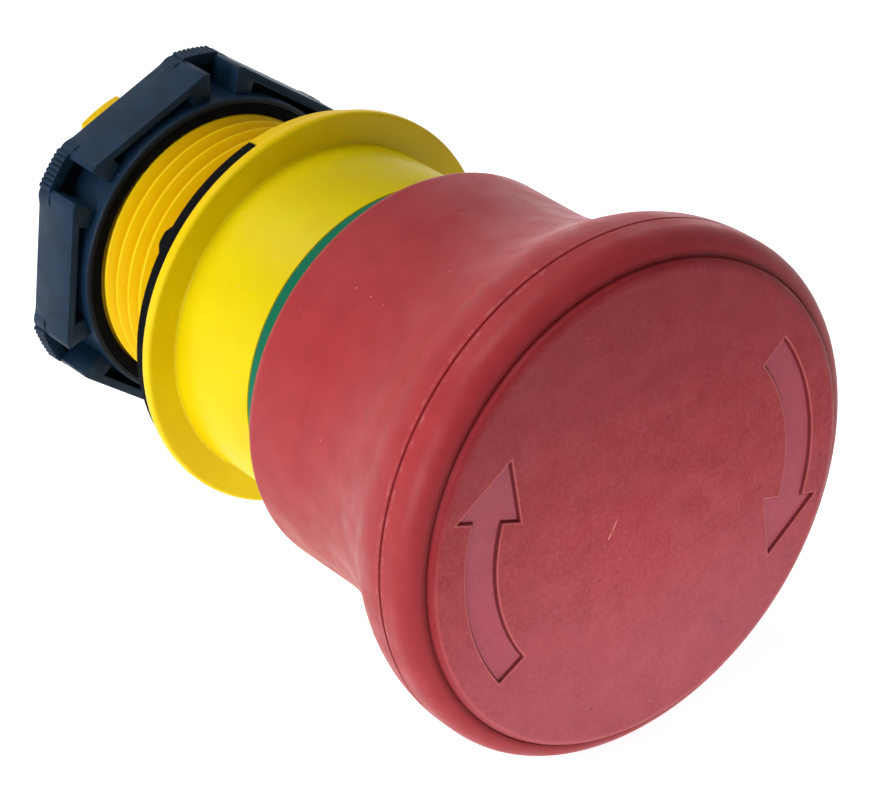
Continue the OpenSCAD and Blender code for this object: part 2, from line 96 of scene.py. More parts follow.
class Slot(Enum):
    """Material slots of the record."""

    YELLOW = "yellow_polyamide"
    GREEN = "green_plastic"
    RED = "red_plastic"
    RED_FACE = "red_face"
    RUBBER = "black_rubber"
    BLACK = "black_polyamide"
    WHITE = "white_acetal"
    GREY = "grey_acetal"
    SPRING = "spring_steel"
    ZINC = "zinc_steel"


# ------------------------------------------------------------------ shared mesh work


def at(radius: float, angle: float, height: float) -> Vector:
    """Place of a point given round the button's axis.

    Args:
        radius: Distance from the axis, in millimetres.
        angle: Degrees anticlockwise from 3 o'clock, as the user sees it.
        height: Distance in front of the panel, in millimetres.

    Returns:
        The point in metres.
    """
    a = math.radians(angle)
    return Vector((radius * math.cos(a), -height, radius * math.sin(a))) * MM


def polar(point: Vector) -> tuple[float, float, float]:
    """Radius, angle in degrees and height of a point, the reverse of at()."""
    return (
        math.hypot(point.x, point.z) / MM,
        math.degrees(math.atan2(point.z, point.x)),
        -point.y / MM,
    )


def arc(
    centre: tuple[float, float], radius: float, start: float, end: float, steps: int
) -> Profile:
    """Points of an arc in a half section.

    Args:
        centre: Radius and height of the arc's centre.
        radius: Radius of the arc.
        start: Angle of its first point, in degrees from the outward direction.
        end: Angle of its last point.
        steps: Number of parts it is divided into.

    Returns:
        The points, first and last included.
    """
    angles = [math.radians(start + (end - start) * i / steps) for i in range(steps + 1)]
    return [
        (centre[0] + radius * math.cos(a), centre[1] + radius * math.sin(a))
        for a in angles
    ]


def spin(
    bm: bmesh.types.BMesh,
    section: Profile,
    steps: int,
    start: float = 0.0,
    sweep: float = 360.0,
    rise: float = 0.0,
    open_section: bool = False,
) -> None:
    """Spins a half section about the button's axis.

    Args:
        bm: Mesh that the solid is added to.
        section: Radius and height of each corner.
        steps: Number of parts of the sweep.
        start: Angle at which the sweep starts, in degrees.
        sweep: Angle that it covers, in degrees.
        rise: Height gained over the whole sweep, for a coil or a thread.
        open_section: True for a line that starts and ends on the axis, spun as a bare skin.
    """
    own = bmesh.new()
    corners = [own.verts.new(at(r, start, h)) for r, h in section]
    pairs = list(zip(corners, corners[1:] + corners[:1]))
    edges = [own.edges.new(pair) for pair in (pairs[:-1] if open_section else pairs)]
    full = abs(sweep) >= 360.0 and not rise
    capped = not full and not open_section
    if capped:
        own.faces.new(corners)
    bmesh.ops.spin(
        own,
        geom=corners + edges,
        cent=CENTRE,
        axis=TOWARDS_USER,
        dvec=TOWARDS_USER * (rise * MM / steps),
        angle=math.radians(sweep),
        steps=steps,
        use_merge=full,
    )
    bmesh.ops.remove_doubles(own, verts=own.verts, dist=1e-8)
    if capped:
        bmesh.ops.holes_fill(own, edges=own.edges, sides=0)
    bmesh.ops.recalc_face_normals(own, faces=own.faces)
    merge(bm, own)


def merge(bm: bmesh.types.BMesh, part: bmesh.types.BMesh) -> None:
    """Adds one mesh to another and frees it.

    Args:
        bm: Mesh that grows.
        part: Mesh that is added and freed.
    """
    mesh = bpy.data.meshes.new("part")
    part.to_mesh(mesh)
    part.free()
    bm.from_mesh(mesh)
    bpy.data.meshes.remove(mesh)


def thicken(bm: bmesh.types.BMesh, faces: list[bmesh.types.BMFace], height: float) -> None:
    """Extrudes flat faces towards the user.

    Args:
        bm: Mesh of the faces.
        faces: Faces that are extruded.
        height: Thickness of the result, in millimetres.
    """
    grown = bmesh.ops.extrude_face_region(bm, geom=faces)["geom"]
    moved = [g for g in grown if isinstance(g, bmesh.types.BMVert)]
    bmesh.ops.translate(bm, verts=moved, vec=TOWARDS_USER * (height * MM))
    bmesh.ops.recalc_face_normals(bm, faces=bm.faces)


def turn_round(bm: bmesh.types.BMesh, turn: float) -> None:
    """Turns a whole mesh about the button's axis, by an angle in degrees."""
    about = Matrix.Rotation(math.radians(turn), 3, TOWARDS_USER)
    bmesh.ops.rotate(bm, verts=bm.verts, cent=CENTRE, matrix=about)


def prism(
    bm: bmesh.types.BMesh,
    outline: Profile,
    low: float,
    high: float,
    turn: float = 0.0,
    bevel: float = 0.0,
) -> None:
    """Extrudes a flat outline along the button's axis and rounds its edges.

    Args:
        bm: Mesh that the prism is added to.
        outline: Corners in the plane of the face, right and up, in millimetres.
        low: Height of its rear end.
        high: Height of its front end.
        turn: Angle by which it is turned about the axis, in degrees.
        bevel: Width of its rounded edges.
    """
    own = bmesh.new()
    corners = [own.verts.new(Vector((x, -low, z)) * MM) for x, z in outline]
    thicken(own, [own.faces.new(corners)], high - low)
    if bevel:
        round_edges(own, own.edges[:], bevel, 2)
    turn_round(own, turn)
    merge(bm, own)


def round_edges(
    bm: bmesh.types.BMesh, edges: list[bmesh.types.BMEdge], width: float, segments: int
) -> None:
    """Rounds edges with a bevel.

    Args:
        bm: Mesh of the edges.
        edges: Edges that are rounded.
        width: Width of the bevel, in millimetres.
        segments: Number of facets of the rounding.
    """
    bmesh.ops.bevel(
        bm,
        geom=edges,
        offset=width * MM,
        offset_type="OFFSET",
        affect="EDGES",
        segments=segments,
        profile=0.5,
        material=-1,
        clamp_overlap=True,
    )


def round_rings(
    bm: bmesh.types.BMesh, rings: Iterable[tuple[float, float]], width: float, segments: int
) -> None:
    """Rounds whole rings of a spun solid.

    Args:
        bm: Mesh of the solid.
        rings: Radius and height of each ring.
        width: Width of the rounding, in millimetres.
        segments: Number of facets of the rounding.
    """
    for radius, height in rings:
        found = []
        for edge in bm.edges:
            places = [polar(v.co) for v in edge.verts]
            if all(max(abs(r - radius), abs(h - height)) < SAME_MM for r, _, h in places):
                found.append(edge)
        if found:
            round_edges(bm, found, width, segments)


def make_piece(
    name: str,
    bm: bmesh.types.BMesh,
    finish: "Finish",
    body: Body,
    replaces: Iterable[str] = (),
    sharp: float = 34.0,
) -> bpy.types.Object:
    """Turns a mesh into a finished piece that rides on a body.

    Args:
        name: Name of the piece.
        bm: Its mesh, which is freed.
        finish: Finish that it is dressed in.
        body: Body that it moves with.
        replaces: CAD nodes that it stands for.
        sharp: Angle between faces above which an edge stays crisp, in degrees.

    Returns:
        The object.
    """
    mesh = bpy.data.meshes.new(name)
    bm.to_mesh(mesh)
    bm.free()
    mesh.shade_smooth()
    mesh.set_sharp_from_angle(angle=math.radians(sharp))
    mesh.materials.append(finish.material())
    piece = bpy.data.objects.new(name, mesh)
    bpy.context.scene.collection.objects.link(piece)
    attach(piece, body.value)
    if replaces:
        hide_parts(*replaces)
    LOG.info("%s: %d faces, on %s", name, len(mesh.polygons), body.value)
    return piece


@dataclass(frozen=True)
class Extent:
    """Radius and ends of a CAD node, read from the frame, in millimetres."""

    radius: float
    rear: float
    front: float

    @classmethod
    def of(cls, node: str) -> "Extent":
        """Reads the extent of a node."""
        low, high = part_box(node)
        return cls(radius=high.x / MM, rear=-high.y / MM, front=-low.y / MM)

    def band(self, inner: float) -> Profile:
        """Half section of a plain ring of this extent, from an inner radius out."""
        outer = self.radius
        return [(inner, self.rear), (outer, self.rear), (outer, self.front), (inner, self.front)]


# ------------------------------------------------------------------ finishes


def linear(hex_colour: str) -> tuple[float, float, float, float]:
    """Turns an sRGB hex colour into linear light.

    Args:
        hex_colour: Colour such as #E6C619.

    Returns:
        Red, green, blue and alpha.
    """
    parts = [int(hex_colour[i : i + 2], 16) / 255 for i in (1, 3, 5)]
    light = [c / 12.92 if c <= 0.04045 else ((c + 0.055) / 1.055) ** 2.4 for c in parts]
    return (light[0], light[1], light[2], 1.0)


def add_node(
    tree: bpy.types.NodeTree,
    kind: str,
    settings: Optional[dict[str, Any]] = None,
    inputs: Optional[dict[Union[str, int], Any]] = None,
) -> bpy.types.Node:
    """Adds a node with its settings and links.

    Args:
        tree: Tree that the node is added to.
        kind: Type name of the node.
        settings: Values of its properties.
        inputs: Value, or socket to link from, of each input.

    Returns:
        The node.
    """
    node = tree.nodes.new(kind)
    for key, value in (settings or {}).items():
        setattr(node, key, value)
    for key, value in (inputs or {}).items():
        if isinstance(value, Socket):
            tree.links.new(value, node.inputs[key])
        else:
            node.inputs[key].default_value = value
    return node


def graded(tree: bpy.types.NodeTree, *factors: Factor) -> Socket:
    """Value made of factors that are multiplied together.

    Args:
        tree: Tree of the material.
        factors: Each a number, a socket, or a smooth step: the socket that it reads, the
            two readings between which it changes, and what it gives at each of them.

    Returns:
        The product's socket.
    """
    product = None
    for factor in factors:
        if isinstance(factor, tuple):
            factor = add_node(
                tree,
                "ShaderNodeMapRange",
                {"interpolation_type": "SMOOTHSTEP"},
                dict(enumerate(factor)),
            ).outputs[0]
        if product is not None:
            factor = add_node(
                tree, "ShaderNodeMath", {"operation": "MULTIPLY"}, {0: product, 1: factor}
            ).outputs[0]
        product = factor
    return product


def coats(tree: bpy.types.NodeTree, colour: Any, layers: Iterable[tuple[Any, ...]]) -> Socket:
    """Lays thin coats over a colour, each only where its mask is.

    Args:
        tree: Tree of the material.
        colour: Colour underneath, a socket or linear light.
        layers: For each coat its hex colour, then the factors of its mask.

    Returns:
        The colour's socket.
    """
    for paint, *mask in layers:
        colour = add_node(
            tree,
            "ShaderNodeMix",
            {"data_type": "RGBA"},
            {0: graded(tree, *mask), 6: colour, 7: linear(paint)},
        ).outputs[2]
    return colour


def clouds(
    tree: bpy.types.NodeTree,
    size_mm: float,
    detail: float = 2.0,
    stretch: tuple[float, float, float] = (1.0, 1.0, 1.0),
) -> Socket:
    """Soft noise whose features have a size in millimetres.

    Args:
        tree: Tree of the material.
        size_mm: Size of a feature.
        detail: Octaves of finer noise.
        stretch: Scale along each axis, below 1 to draw the pattern out.

    Returns:
        The noise's value, from 0 to 1.
    """
    place = add_node(tree, "ShaderNodeTexCoord").outputs["Object"]
    if stretch != (1.0, 1.0, 1.0):
        place = add_node(
            tree, "ShaderNodeMapping", None, {"Vector": place, "Scale": stretch}
        ).outputs[0]
    noise = add_node(
        tree,
        "ShaderNodeTexNoise",
        None,
        {"Vector": place, "Scale": 1000.0 / size_mm, "Detail": detail, "Roughness": 0.55},
    )
    return noise.outputs[0]


def specks(
    tree: bpy.types.NodeTree, spacing_mm: float, size_mm: float, share: float
) -> Socket:
    """Scattered round specks, such as dust or pits.

    Args:
        tree: Tree of the material.
        spacing_mm: Distance between the places where a speck may be.
        size_mm: Radius of a speck.
        share: Share of the places that have one.

    Returns:
        A mask, 1 in a speck.
    """
    place = add_node(tree, "ShaderNodeTexCoord").outputs["Object"]
    cells = add_node(
        tree, "ShaderNodeTexVoronoi", None, {"Vector": place, "Scale": 1000.0 / spacing_mm}
    )
    edge = size_mm / spacing_mm
    pick = add_node(tree, "ShaderNodeSeparateColor", None, {0: cells.outputs["Color"]})
    return graded(
        tree,
        (cells.outputs["Distance"], edge * 0.4, edge, 1.0, 0.0),
        (pick.outputs[0], share * 0.8, share, 1.0, 0.0),
    )


def hairlines(
    tree: bpy.types.NodeTree, spacing_mm: float, turn: float, share: float
) -> Socket:
    """Short hairline scratches, all roughly one way.

    Args:
        tree: Tree of the material.
        spacing_mm: Usual distance between two scratches.
        turn: Direction of the scratches in the plane of the face, in degrees.
        share: How much of each line shows, from 0 to 1.

    Returns:
        A mask, 1 in a scratch.
    """
    place = add_node(tree, "ShaderNodeTexCoord").outputs["Object"]
    drawn = add_node(
        tree,
        "ShaderNodeMapping",
        None,
        {"Vector": place, "Rotation": (0.3, math.radians(turn), 0.2), "Scale": (0.06, 1.0, 1.0)},
    ).outputs[0]
    cells = add_node(
        tree,
        "ShaderNodeTexVoronoi",
        {"feature": "DISTANCE_TO_EDGE"},
        {"Vector": drawn, "Scale": 1000.0 / spacing_mm},
    )
    return graded(
        tree,
        (cells.outputs["Distance"], 0.0, 0.012, 1.0, 0.0),
        (clouds(tree, 5.0), 0.66 - 0.2 * share, 0.7, 0.0, 1.0),
    )


def from_axis(tree: bpy.types.NodeTree) -> Socket:
    """Distance of the shaded point from the button's axis.

    Args:
        tree: Tree of the material.

    Returns:
        The distance's socket, in metres.
    """
    place = add_node(tree, "ShaderNodeTexCoord").outputs["Object"]
    flat = add_node(
        tree, "ShaderNodeVectorMath", {"operation": "MULTIPLY"}, {0: place, 1: (1.0, 0.0, 1.0)}
    )
    return add_node(
        tree, "ShaderNodeVectorMath", {"operation": "LENGTH"}, {0: flat.outputs[0]}
    ).outputs["Value"]


def axis_place(tree: bpy.types.NodeTree, axis: str, origin_mm: float = 0.0) -> Socket:
    """Coordinate of the shaded point along one axis.

    Args:
        tree: Tree of the material.
        axis: X, Y or Z.
        origin_mm: Coordinate that is counted as zero, in millimetres.

    Returns:
        The coordinate's socket, in metres.
    """
    place = add_node(tree, "ShaderNodeTexCoord").outputs["Object"]
    axes = add_node(tree, "ShaderNodeSeparateXYZ", None, {0: place})
    return add_node(
        tree,
        "ShaderNodeMath",
        {"operation": "SUBTRACT"},
        {0: axes.outputs[axis], 1: origin_mm * MM},
    ).outputs[0]


@dataclass(frozen=True)
class Finish:
    """What every finish has: a name, a record slot and a material made once."""

    name: str
    slot: Slot

    def material(self) -> bpy.types.Material:
        """Gives the finish's material, which is made the first time.

        Returns:
            The material.
        """
        found = bpy.data.materials.get(self.name)
        if found:
            return found
        made = bpy.data.materials.new(self.name)
        made.use_nodes = True
        made.node_tree.nodes.clear()
        shader = self.shade(made.node_tree)
        add_node(
            made.node_tree, "ShaderNodeOutputMaterial", None, {"Surface": shader.outputs[0]}
        )
        return made

    def shade(self, tree: bpy.types.NodeTree) -> bpy.types.Node:
        """Builds the shader and returns its node."""
        raise NotImplementedError


@dataclass(frozen=True)
class MouldedPlastic(Finish):
    """Injection-moulded thermoplastic.

    The mould's finely eroded steel leaves a grain, the pigment drifts a little where the
    melt flowed, and handling leaves dust and hairlines.
    """

    colour: str = "#808080"
    tone: str = "#707070"
    tone_mm: float = 7.0
    roughness: float = 0.42
    spread: float = 0.06
    grain_mm: float = 0.3
    grain_depth_mm: float = 0.004
    sink_depth_mm: float = 0.02
    dust: str = "#D8D0C8"
    dust_share: float = 0.1
    pit: str = "#301010"
    pit_share: float = 0.06
    scratch_share: float = 0.3
    scratch_strength: float = 0.16
    depth_mm: float = 0.0
    glow_weight: float = 0.12
    ior: float = 1.53
    sheen_level: float = 0.2

    def colour_socket(self, tree: bpy.types.NodeTree) -> Socket:
        """Builds the colour, with the drift of its pigment, pits, dust and hairlines.

        Args:
            tree: Tree of the material.

        Returns:
            The colour's socket.
        """
        lines = hairlines(tree, 3.4, 35.0, self.scratch_share)
        return coats(
            tree,
            linear(self.colour),
            [
                (self.tone, (clouds(tree, self.tone_mm, 4.0), 0.34, 0.66, 0.0, 1.0)),
                (self.pit, specks(tree, 1.9, 0.17, self.pit_share), 0.55),
                (self.dust, specks(tree, 1.1, 0.085, self.dust_share), 0.5),
                (self.dust, lines, self.scratch_strength),
            ],
        )

    def gloss_socket(self, tree: bpy.types.NodeTree) -> Socket:
        """Builds the roughness, which handling has made a little uneven."""
        low, high = self.roughness - self.spread, self.roughness + self.spread
        return graded(tree, (clouds(tree, 2.3, 3.0), 0.3, 0.7, low, high))

    def shade(self, tree: bpy.types.NodeTree) -> bpy.types.Node:
        """Builds the plastic's shader.

        Args:
            tree: Tree of the material.

        Returns:
            The shader's node.
        """
        grain = add_node(
            tree,
            "ShaderNodeBump",
            None,
            {"Height": clouds(tree, self.grain_mm, 3.0), "Distance": self.grain_depth_mm * MM},
        )
        sink = add_node(
            tree,
            "ShaderNodeBump",
            None,
            {
                "Height": clouds(tree, 9.0, 1.0),
                "Distance": self.sink_depth_mm * MM,
                "Normal": grain.outputs[0],
            },
        )
        return add_node(
            tree,
            "ShaderNodeBsdfPrincipled",
            None,
            {
                "Base Color": self.colour_socket(tree),
                "Roughness": self.gloss_socket(tree),
                "IOR": self.ior,
                "Specular IOR Level": self.sheen_level,
                "Subsurface Weight": self.glow_weight if self.depth_mm else 0.0,
                "Subsurface Radius": (1.0, 0.5, 0.25),
                "Subsurface Scale": self.depth_mm * MM,
                "Normal": sink.outputs[0],
            },
        )


@dataclass(frozen=True)
class TwoToneYellow(MouldedPlastic):
    """Moulding whose flange and barrel are warmer than its collar, with painted shade in its
    thread's roots.
    """

    warm: str = "#F2C802"
    warm_below_mm: float = 2.3
    # Colour of the painted shade in the thread's roots.
    root: str = "#DCAC00"
    root_r: float = 10.15
    crest_r: float = 10.75

    def colour_socket(self, tree: bpy.types.NodeTree) -> Socket:
        """Warms the plastic's colour from the flange back, and paints shade into the thread's
        roots.

        Args:
            tree: Tree of the material.

        Returns:
            The colour's socket.
        """
        height = axis_place(tree, "Y", -self.warm_below_mm)
        return coats(
            tree,
            super().colour_socket(tree),
            [
                (self.warm, (height, -0.25 * MM, 0.25 * MM, 0.0, 0.95)),
                # Painted shade in the thread's roots, on the barrel behind the flange.
                (
                    self.root,
                    (from_axis(tree), self.root_r * MM, self.crest_r * MM, 0.6, 0.0),
                    (height, 1.8 * MM, 2.2 * MM, 0.0, 1.0),
                ),
            ],
        )


@dataclass(frozen=True)
class GripPlastic(MouldedPlastic):
    """Glass-filled black of the nut, with painted shade in its pockets and round its mouth."""

    painted_shade: str = "#04070B"
    mouth_r: float = 12.22
    mouth_mm: float = 12.3

    def colour_socket(self, tree: bpy.types.NodeTree) -> Socket:
        """Paints shade into the plastic's colour round the mouth and in the pockets.

        Args:
            tree: Tree of the material.

        Returns:
            The colour's socket.
        """
        painted_shade = add_node(tree, "ShaderNodeAttribute", {"attribute_name": "painted_shade"}).outputs["Fac"]
        lip, face = self.mouth_r + 0.1, self.mouth_mm + 0.3
        return coats(
            tree,
            super().colour_socket(tree),
            [
                # Painted shade round the nut's mouth.
                (
                    self.painted_shade,
                    (from_axis(tree), self.mouth_r * MM, lip * MM, 0.92, 0.0),
                    (axis_place(tree, "Y"), self.mouth_mm * MM, face * MM, 1.0, 0.0),
                ),
                # Painted shade on the pockets' floors, from the mask that the nut marks.
                (self.painted_shade, painted_shade, 0.85),
            ],
        )


@dataclass(frozen=True)
class ShellPlastic(MouldedPlastic):
    """Red polyamide of the head's two halves.

    Dirt has settled in the parting line, more of it on the left. Beside the line, a pale,
    broken band is partly scraped flash and partly painted highlight on its lips, also
    stronger on the left. Painted shade darkens the groove round the disc and the rim beside it.
    """

    seam_mm: float = 35.7
    seam_half_mm: float = 0.13
    seam_dirt: str = "#6E0008"
    scrape_and_highlight: str = "#D88884"
    groove_r: float = 18.5
    groove_painted_shade: str = "#78060A"
    rim_painted_shade: str = "#8E2026"

    def colour_socket(self, tree: bpy.types.NodeTree) -> Socket:
        """Adds the parting line, the pale bands beside it, and painted shade in the groove and on
        the rim.

        Args:
            tree: Tree of the material.

        Returns:
            The colour's socket.
        """
        height = axis_place(tree, "Y", -self.seam_mm)
        off = add_node(tree, "ShaderNodeMath", {"operation": "ABSOLUTE"}, {0: height}).outputs[0]
        side = graded(tree, (axis_place(tree, "X"), -12.0 * MM, 6.0 * MM, 1.0, 0.12))
        half = self.seam_half_mm * MM
        out = from_axis(tree)
        front = graded(tree, (height, -1.2 * MM, -2.4 * MM, 0.0, 1.0))
        groove = self.groove_r * MM
        return coats(
            tree,
            super().colour_socket(tree),
            [
                # Pale band beside the parting line: partly scraped flash, partly painted highlight
                # on its lips.
                (
                    self.scrape_and_highlight,
                    (off, half, half * 1.6, 0.0, 1.0),
                    (off, half * 2.2, half * 4.5, 1.0, 0.0),
                    (clouds(tree, 0.6, 4.0), 0.45, 0.7, 0.0, 1.0),
                    side,
                    0.3,
                ),
                (self.seam_dirt, (off, half * 0.5, half * 1.3, 1.0, 0.0), side, 0.85),
                # Painted shade on the rim and in the groove round the disc, on the face's side
                # only.
                (self.rim_painted_shade, (out, groove + 0.3 * MM, groove + 1.4 * MM, 0.6, 0.0), front),
                (
                    self.groove_painted_shade,
                    (out, groove + 0.05 * MM, groove + 0.42 * MM, 0.9, 0.0),
                    front,
                ),
            ],
        )


@dataclass(frozen=True)
class ErodedFace(MouldedPlastic):
    """Red polyamide moulded against spark-eroded steel: matt and softly mottled.

    It scatters light evenly, so the face looks paler than the shell. Painted light makes its
    lower half paler and painted shade its upper half darker, and one stroke of a tool has left a
    light scratch beside its centre.
    """

    patch: str = "#A8262C"
    blotch: str = "#84242C"
    grain_tip: str = "#C0606A"
    top_painted_shade: str = "#7E2226"
    low_painted_light: str = "#C8808C"
    fleck: str = "#5E1A22"
    wall_painted_shade: str = "#4C060C"
    floor_painted_sheen: str = "#B45A70"
    # Colour of the painted highlight on the arrows' lips.
    lip: str = "#D87A74"
    edge_painted_highlight: str = "#DC7068"
    shaded_wall: str = "#8A1A20"
    gap_painted_shade: str = "#74060C"
    stroke: str = "#F0A090"
    edge_r: float = 18.0
    scratch_middle: tuple[float, float] = (-3.4, -0.4)
    scratch_turn: float = 60.0
    scratch_half_mm: float = 1.3

    def colour_socket(self, tree: bpy.types.NodeTree) -> Socket:
        """Adds the mottling, the painted light and shade, the arrows' marks and the scratch.

        Args:
            tree: Tree of the material.

        Returns:
            The colour's socket.
        """
        height = axis_place(tree, "Z")
        colour = coats(
            tree,
            super().colour_socket(tree),
            [
                (
                    self.patch,
                    (clouds(tree, 7.5, 2.0), 0.42, 0.62, 0.0, 0.4),
                    (from_axis(tree), 3.0 * MM, 13.0 * MM, 1.0, 0.35),
                ),
                (self.blotch, (clouds(tree, 1.3, 5.0), 0.5, 0.72, 0.0, 0.3)),
                (self.grain_tip, (clouds(tree, 0.3, 3.0), 0.38, 0.72, 0.0, 0.2)),
                # Painted shade darkens the top of the face and painted light makes its bottom
                # paler.
                (self.top_painted_shade, (height, -3.0 * MM, 16.0 * MM, 0.0, 0.55)),
                (self.low_painted_light, (height, 4.0 * MM, -15.0 * MM, 0.0, 0.2)),
                (self.fleck, specks(tree, 1.5, 0.2, 0.22), 0.5),
            ],
        )
        return self.scratch(tree, self.arrow_light_and_shade(tree, colour))

    def scratch(self, tree: bpy.types.NodeTree, colour: Socket) -> Socket:
        """Draws the one light scratch beside the face's centre.

        Args:
            tree: Tree of the material.
            colour: Colour of the face with its painted light and shade.

        Returns:
            The colour's socket.
        """
        place = add_node(tree, "ShaderNodeTexCoord").outputs["Object"]
        centred = add_node(
            tree,
            "ShaderNodeVectorMath",
            {"operation": "SUBTRACT"},
            {0: place, 1: (self.scratch_middle[0] * MM, 0.0, self.scratch_middle[1] * MM)},
        ).outputs[0]
        turned = add_node(
            tree,
            "ShaderNodeMapping",
            None,
            {"Vector": centred, "Rotation": (0.0, math.radians(self.scratch_turn), 0.0)},
        ).outputs[0]
        axes = add_node(tree, "ShaderNodeSeparateXYZ", None, {0: turned})
        along, across = (
            add_node(
                tree, "ShaderNodeMath", {"operation": "ABSOLUTE"}, {0: axes.outputs[axis]}
            ).outputs[0]
            for axis in "XZ"
        )
        half = self.scratch_half_mm * MM
        mask = (
            (along, half * 0.5, half, 1.0, 0.0),
            (across, 0.02 * MM, 0.07 * MM, 1.0, 0.0),
            (clouds(tree, 0.5), 0.35, 0.55, 0.0, 1.0),
            0.75,
        )
        return coats(tree, colour, [(self.stroke, *mask)])

    def arrow_light_and_shade(self, tree: bpy.types.NodeTree, colour: Socket) -> Socket:
        """Paints highlights on the arrows' lips and the disc's edge, a sheen on the arrows'
        floors, and shade on their walls, the disc's edge and the gap round it.

        Args:
            tree: Tree of the material.
            colour: Colour of the bare plastic.

        Returns:
            The colour's socket.
        """
        off = add_node(tree, "ShaderNodeAttribute", {"attribute_name": "arrow_mm"}).outputs["Fac"]
        out = from_axis(tree)
        edge = self.edge_r * MM
        return coats(
            tree,
            colour,
            [
                # Painted shade on the arrows' walls, painted sheen on their floors, painted
                # highlight on their lips.
                (self.wall_painted_shade, (off, -0.2, -0.1, 0.0, 1.0), (off, -0.05, 0.0, 1.0, 0.0), 0.75),
                (self.floor_painted_sheen, (off, -0.24, -0.14, 0.35, 0.0)),
                (self.lip, (off, -0.03, 0.04, 0.0, 1.0), (off, 0.08, 0.16, 1.0, 0.0), 0.35),
                # Painted highlight on the disc's edge, stronger low; painted shade on its wall and
                # in the gap round it.
                (
                    self.edge_painted_highlight,
                    (out, edge - 0.15 * MM, edge, 0.0, 1.0),
                    (out, edge + 0.1 * MM, edge + 0.2 * MM, 1.0, 0.0),
                    (axis_place(tree, "Z"), 8.0 * MM, -4.0 * MM, 0.0, 0.22),
                ),
                (self.shaded_wall, (out, edge - 0.05 * MM, edge + 0.26 * MM, 0.0, 0.55)),
                (self.gap_painted_shade, (out, edge + 0.29 * MM, edge + 0.36 * MM, 0.0, 0.85)),
            ],
        )

    def gloss_socket(self, tree: bpy.types.NodeTree) -> Socket:
        """Makes the arrows' floors, which the tool smoothed, a little glossier."""
        off = add_node(tree, "ShaderNodeAttribute", {"attribute_name": "arrow_mm"}).outputs["Fac"]
        return graded(tree, super().gloss_socket(tree), (off, -0.24, -0.12, 0.72, 1.0))


@dataclass(frozen=True)
class Rubber(Finish):
    """Moulded nitrile rubber: matt black with a fine bloom on its surface."""

    colour: str = "#060708"
    bloom: str = "#0D0E0F"
    dust: str = "#8A8580"
    roughness: float = 0.85
    sheen_level: float = 0.05

    def shade(self, tree: bpy.types.NodeTree) -> bpy.types.Node:
        """Builds the rubber's shader.

        Args:
            tree: Tree of the material.

        Returns:
            The shader's node.
        """
        colour = coats(
            tree,
            linear(self.colour),
            [
                (self.bloom, (clouds(tree, 1.6, 4.0), 0.4, 0.7, 0.0, 1.0)),
                (self.dust, specks(tree, 0.9, 0.07, 0.15), 0.25),
            ],
        )
        low, high = self.roughness - 0.1, self.roughness + 0.08
        bump = add_node(
            tree,
            "ShaderNodeBump",
            None,
            {"Height": clouds(tree, 0.18, 3.0), "Distance": 0.006 * MM},
        )
        return add_node(
            tree,
            "ShaderNodeBsdfPrincipled",
            None,
            {
                "Base Color": colour,
                "Roughness": graded(tree, (clouds(tree, 0.8), 0.3, 0.7, low, high)),
                "IOR": 1.5,
                "Specular IOR Level": self.sheen_level,
                "Normal": bump.outputs[0],
            },
        )


@dataclass(frozen=True)
class Steel(Finish):
    """Drawn or zinc-plated steel, with fine drawing lines along its run."""

    colour: str = "#B9BCC0"
    tone: str = "#8E9296"
    roughness: float = 0.3
    stretch: tuple[float, float, float] = (1.0, 0.2, 1.0)

    def shade(self, tree: bpy.types.NodeTree) -> bpy.types.Node:
        """Builds the metal's shader.

        Args:
            tree: Tree of the material.

        Returns:
            The shader's node.
        """
        lines = clouds(tree, 0.12, 2.0, self.stretch)
        film = (clouds(tree, 1.4, 3.0), 0.35, 0.7, 0.0, 1.0)
        low, high = self.roughness - 0.08, self.roughness + 0.1
        bump = add_node(
            tree, "ShaderNodeBump", None, {"Height": lines, "Distance": 0.002 * MM}
        )
        return add_node(
            tree,
            "ShaderNodeBsdfPrincipled",
            None,
            {
                "Base Color": coats(tree, linear(self.colour), [(self.tone, film)]),
                "Metallic": 1.0,
                "Roughness": graded(tree, (lines, 0.3, 0.7, low, high)),
                "Normal": bump.outputs[0],
            },
        )


# Polyamide 6, moulded and satin: flow marks run softly through the yellow.
YELLOW = TwoToneYellow(
    name="polyamide_yellow_moulded",
    slot=Slot.YELLOW,
    colour="#E4CE04",
    tone="#E0C602",
    tone_mm=6.0,
    roughness=0.36,
    sheen_level=0.1,
    grain_depth_mm=0.003,
    scratch_strength=0.08,
    pit="#8A7000",
    pit_share=0.03,
    dust="#FFF6C8",
    depth_mm=0.7,
)
# Polyamide, moulded: an even, deep bluish green.
GREEN = MouldedPlastic(
    name="polyamide_green_moulded",
    slot=Slot.GREEN,
    colour="#006E50",
    tone="#006448",
    roughness=0.42,
    sheen_level=0.08,
    pit="#003020",
    dust="#A0D0C0",
)
# Polyamide, moulded: the shell's satin skin shows a very faint cloud and a little dust.
RED = ShellPlastic(
    name="polyamide_red_moulded",
    slot=Slot.RED,
    colour="#A63337",
    tone="#9E2E32",
    tone_mm=2.4,
    roughness=0.42,
    sheen_level=0.15,
    scratch_share=0.1,
    scratch_strength=0.05,
    grain_depth_mm=0.003,
    sink_depth_mm=0.008,
    pit="#5A1018",
    pit_share=0.03,
    dust="#F0B8B8",
    dust_share=0.2,
    depth_mm=0.4,
)
# Polyamide, spark-eroded: matt, mottled and scratched by use.
RED_FACE = ErodedFace(
    name="polyamide_red_eroded",
    slot=Slot.RED_FACE,
    colour="#A3363B",
    tone="#982C31",
    tone_mm=2.2,
    roughness=0.46,
    sheen_level=0.12,
    scratch_strength=0.07,
    grain_mm=0.22,
    grain_depth_mm=0.006,
    pit="#5A1820",
    pit_share=0.12,
    dust="#E8B0A8",
    dust_share=0.06,
)
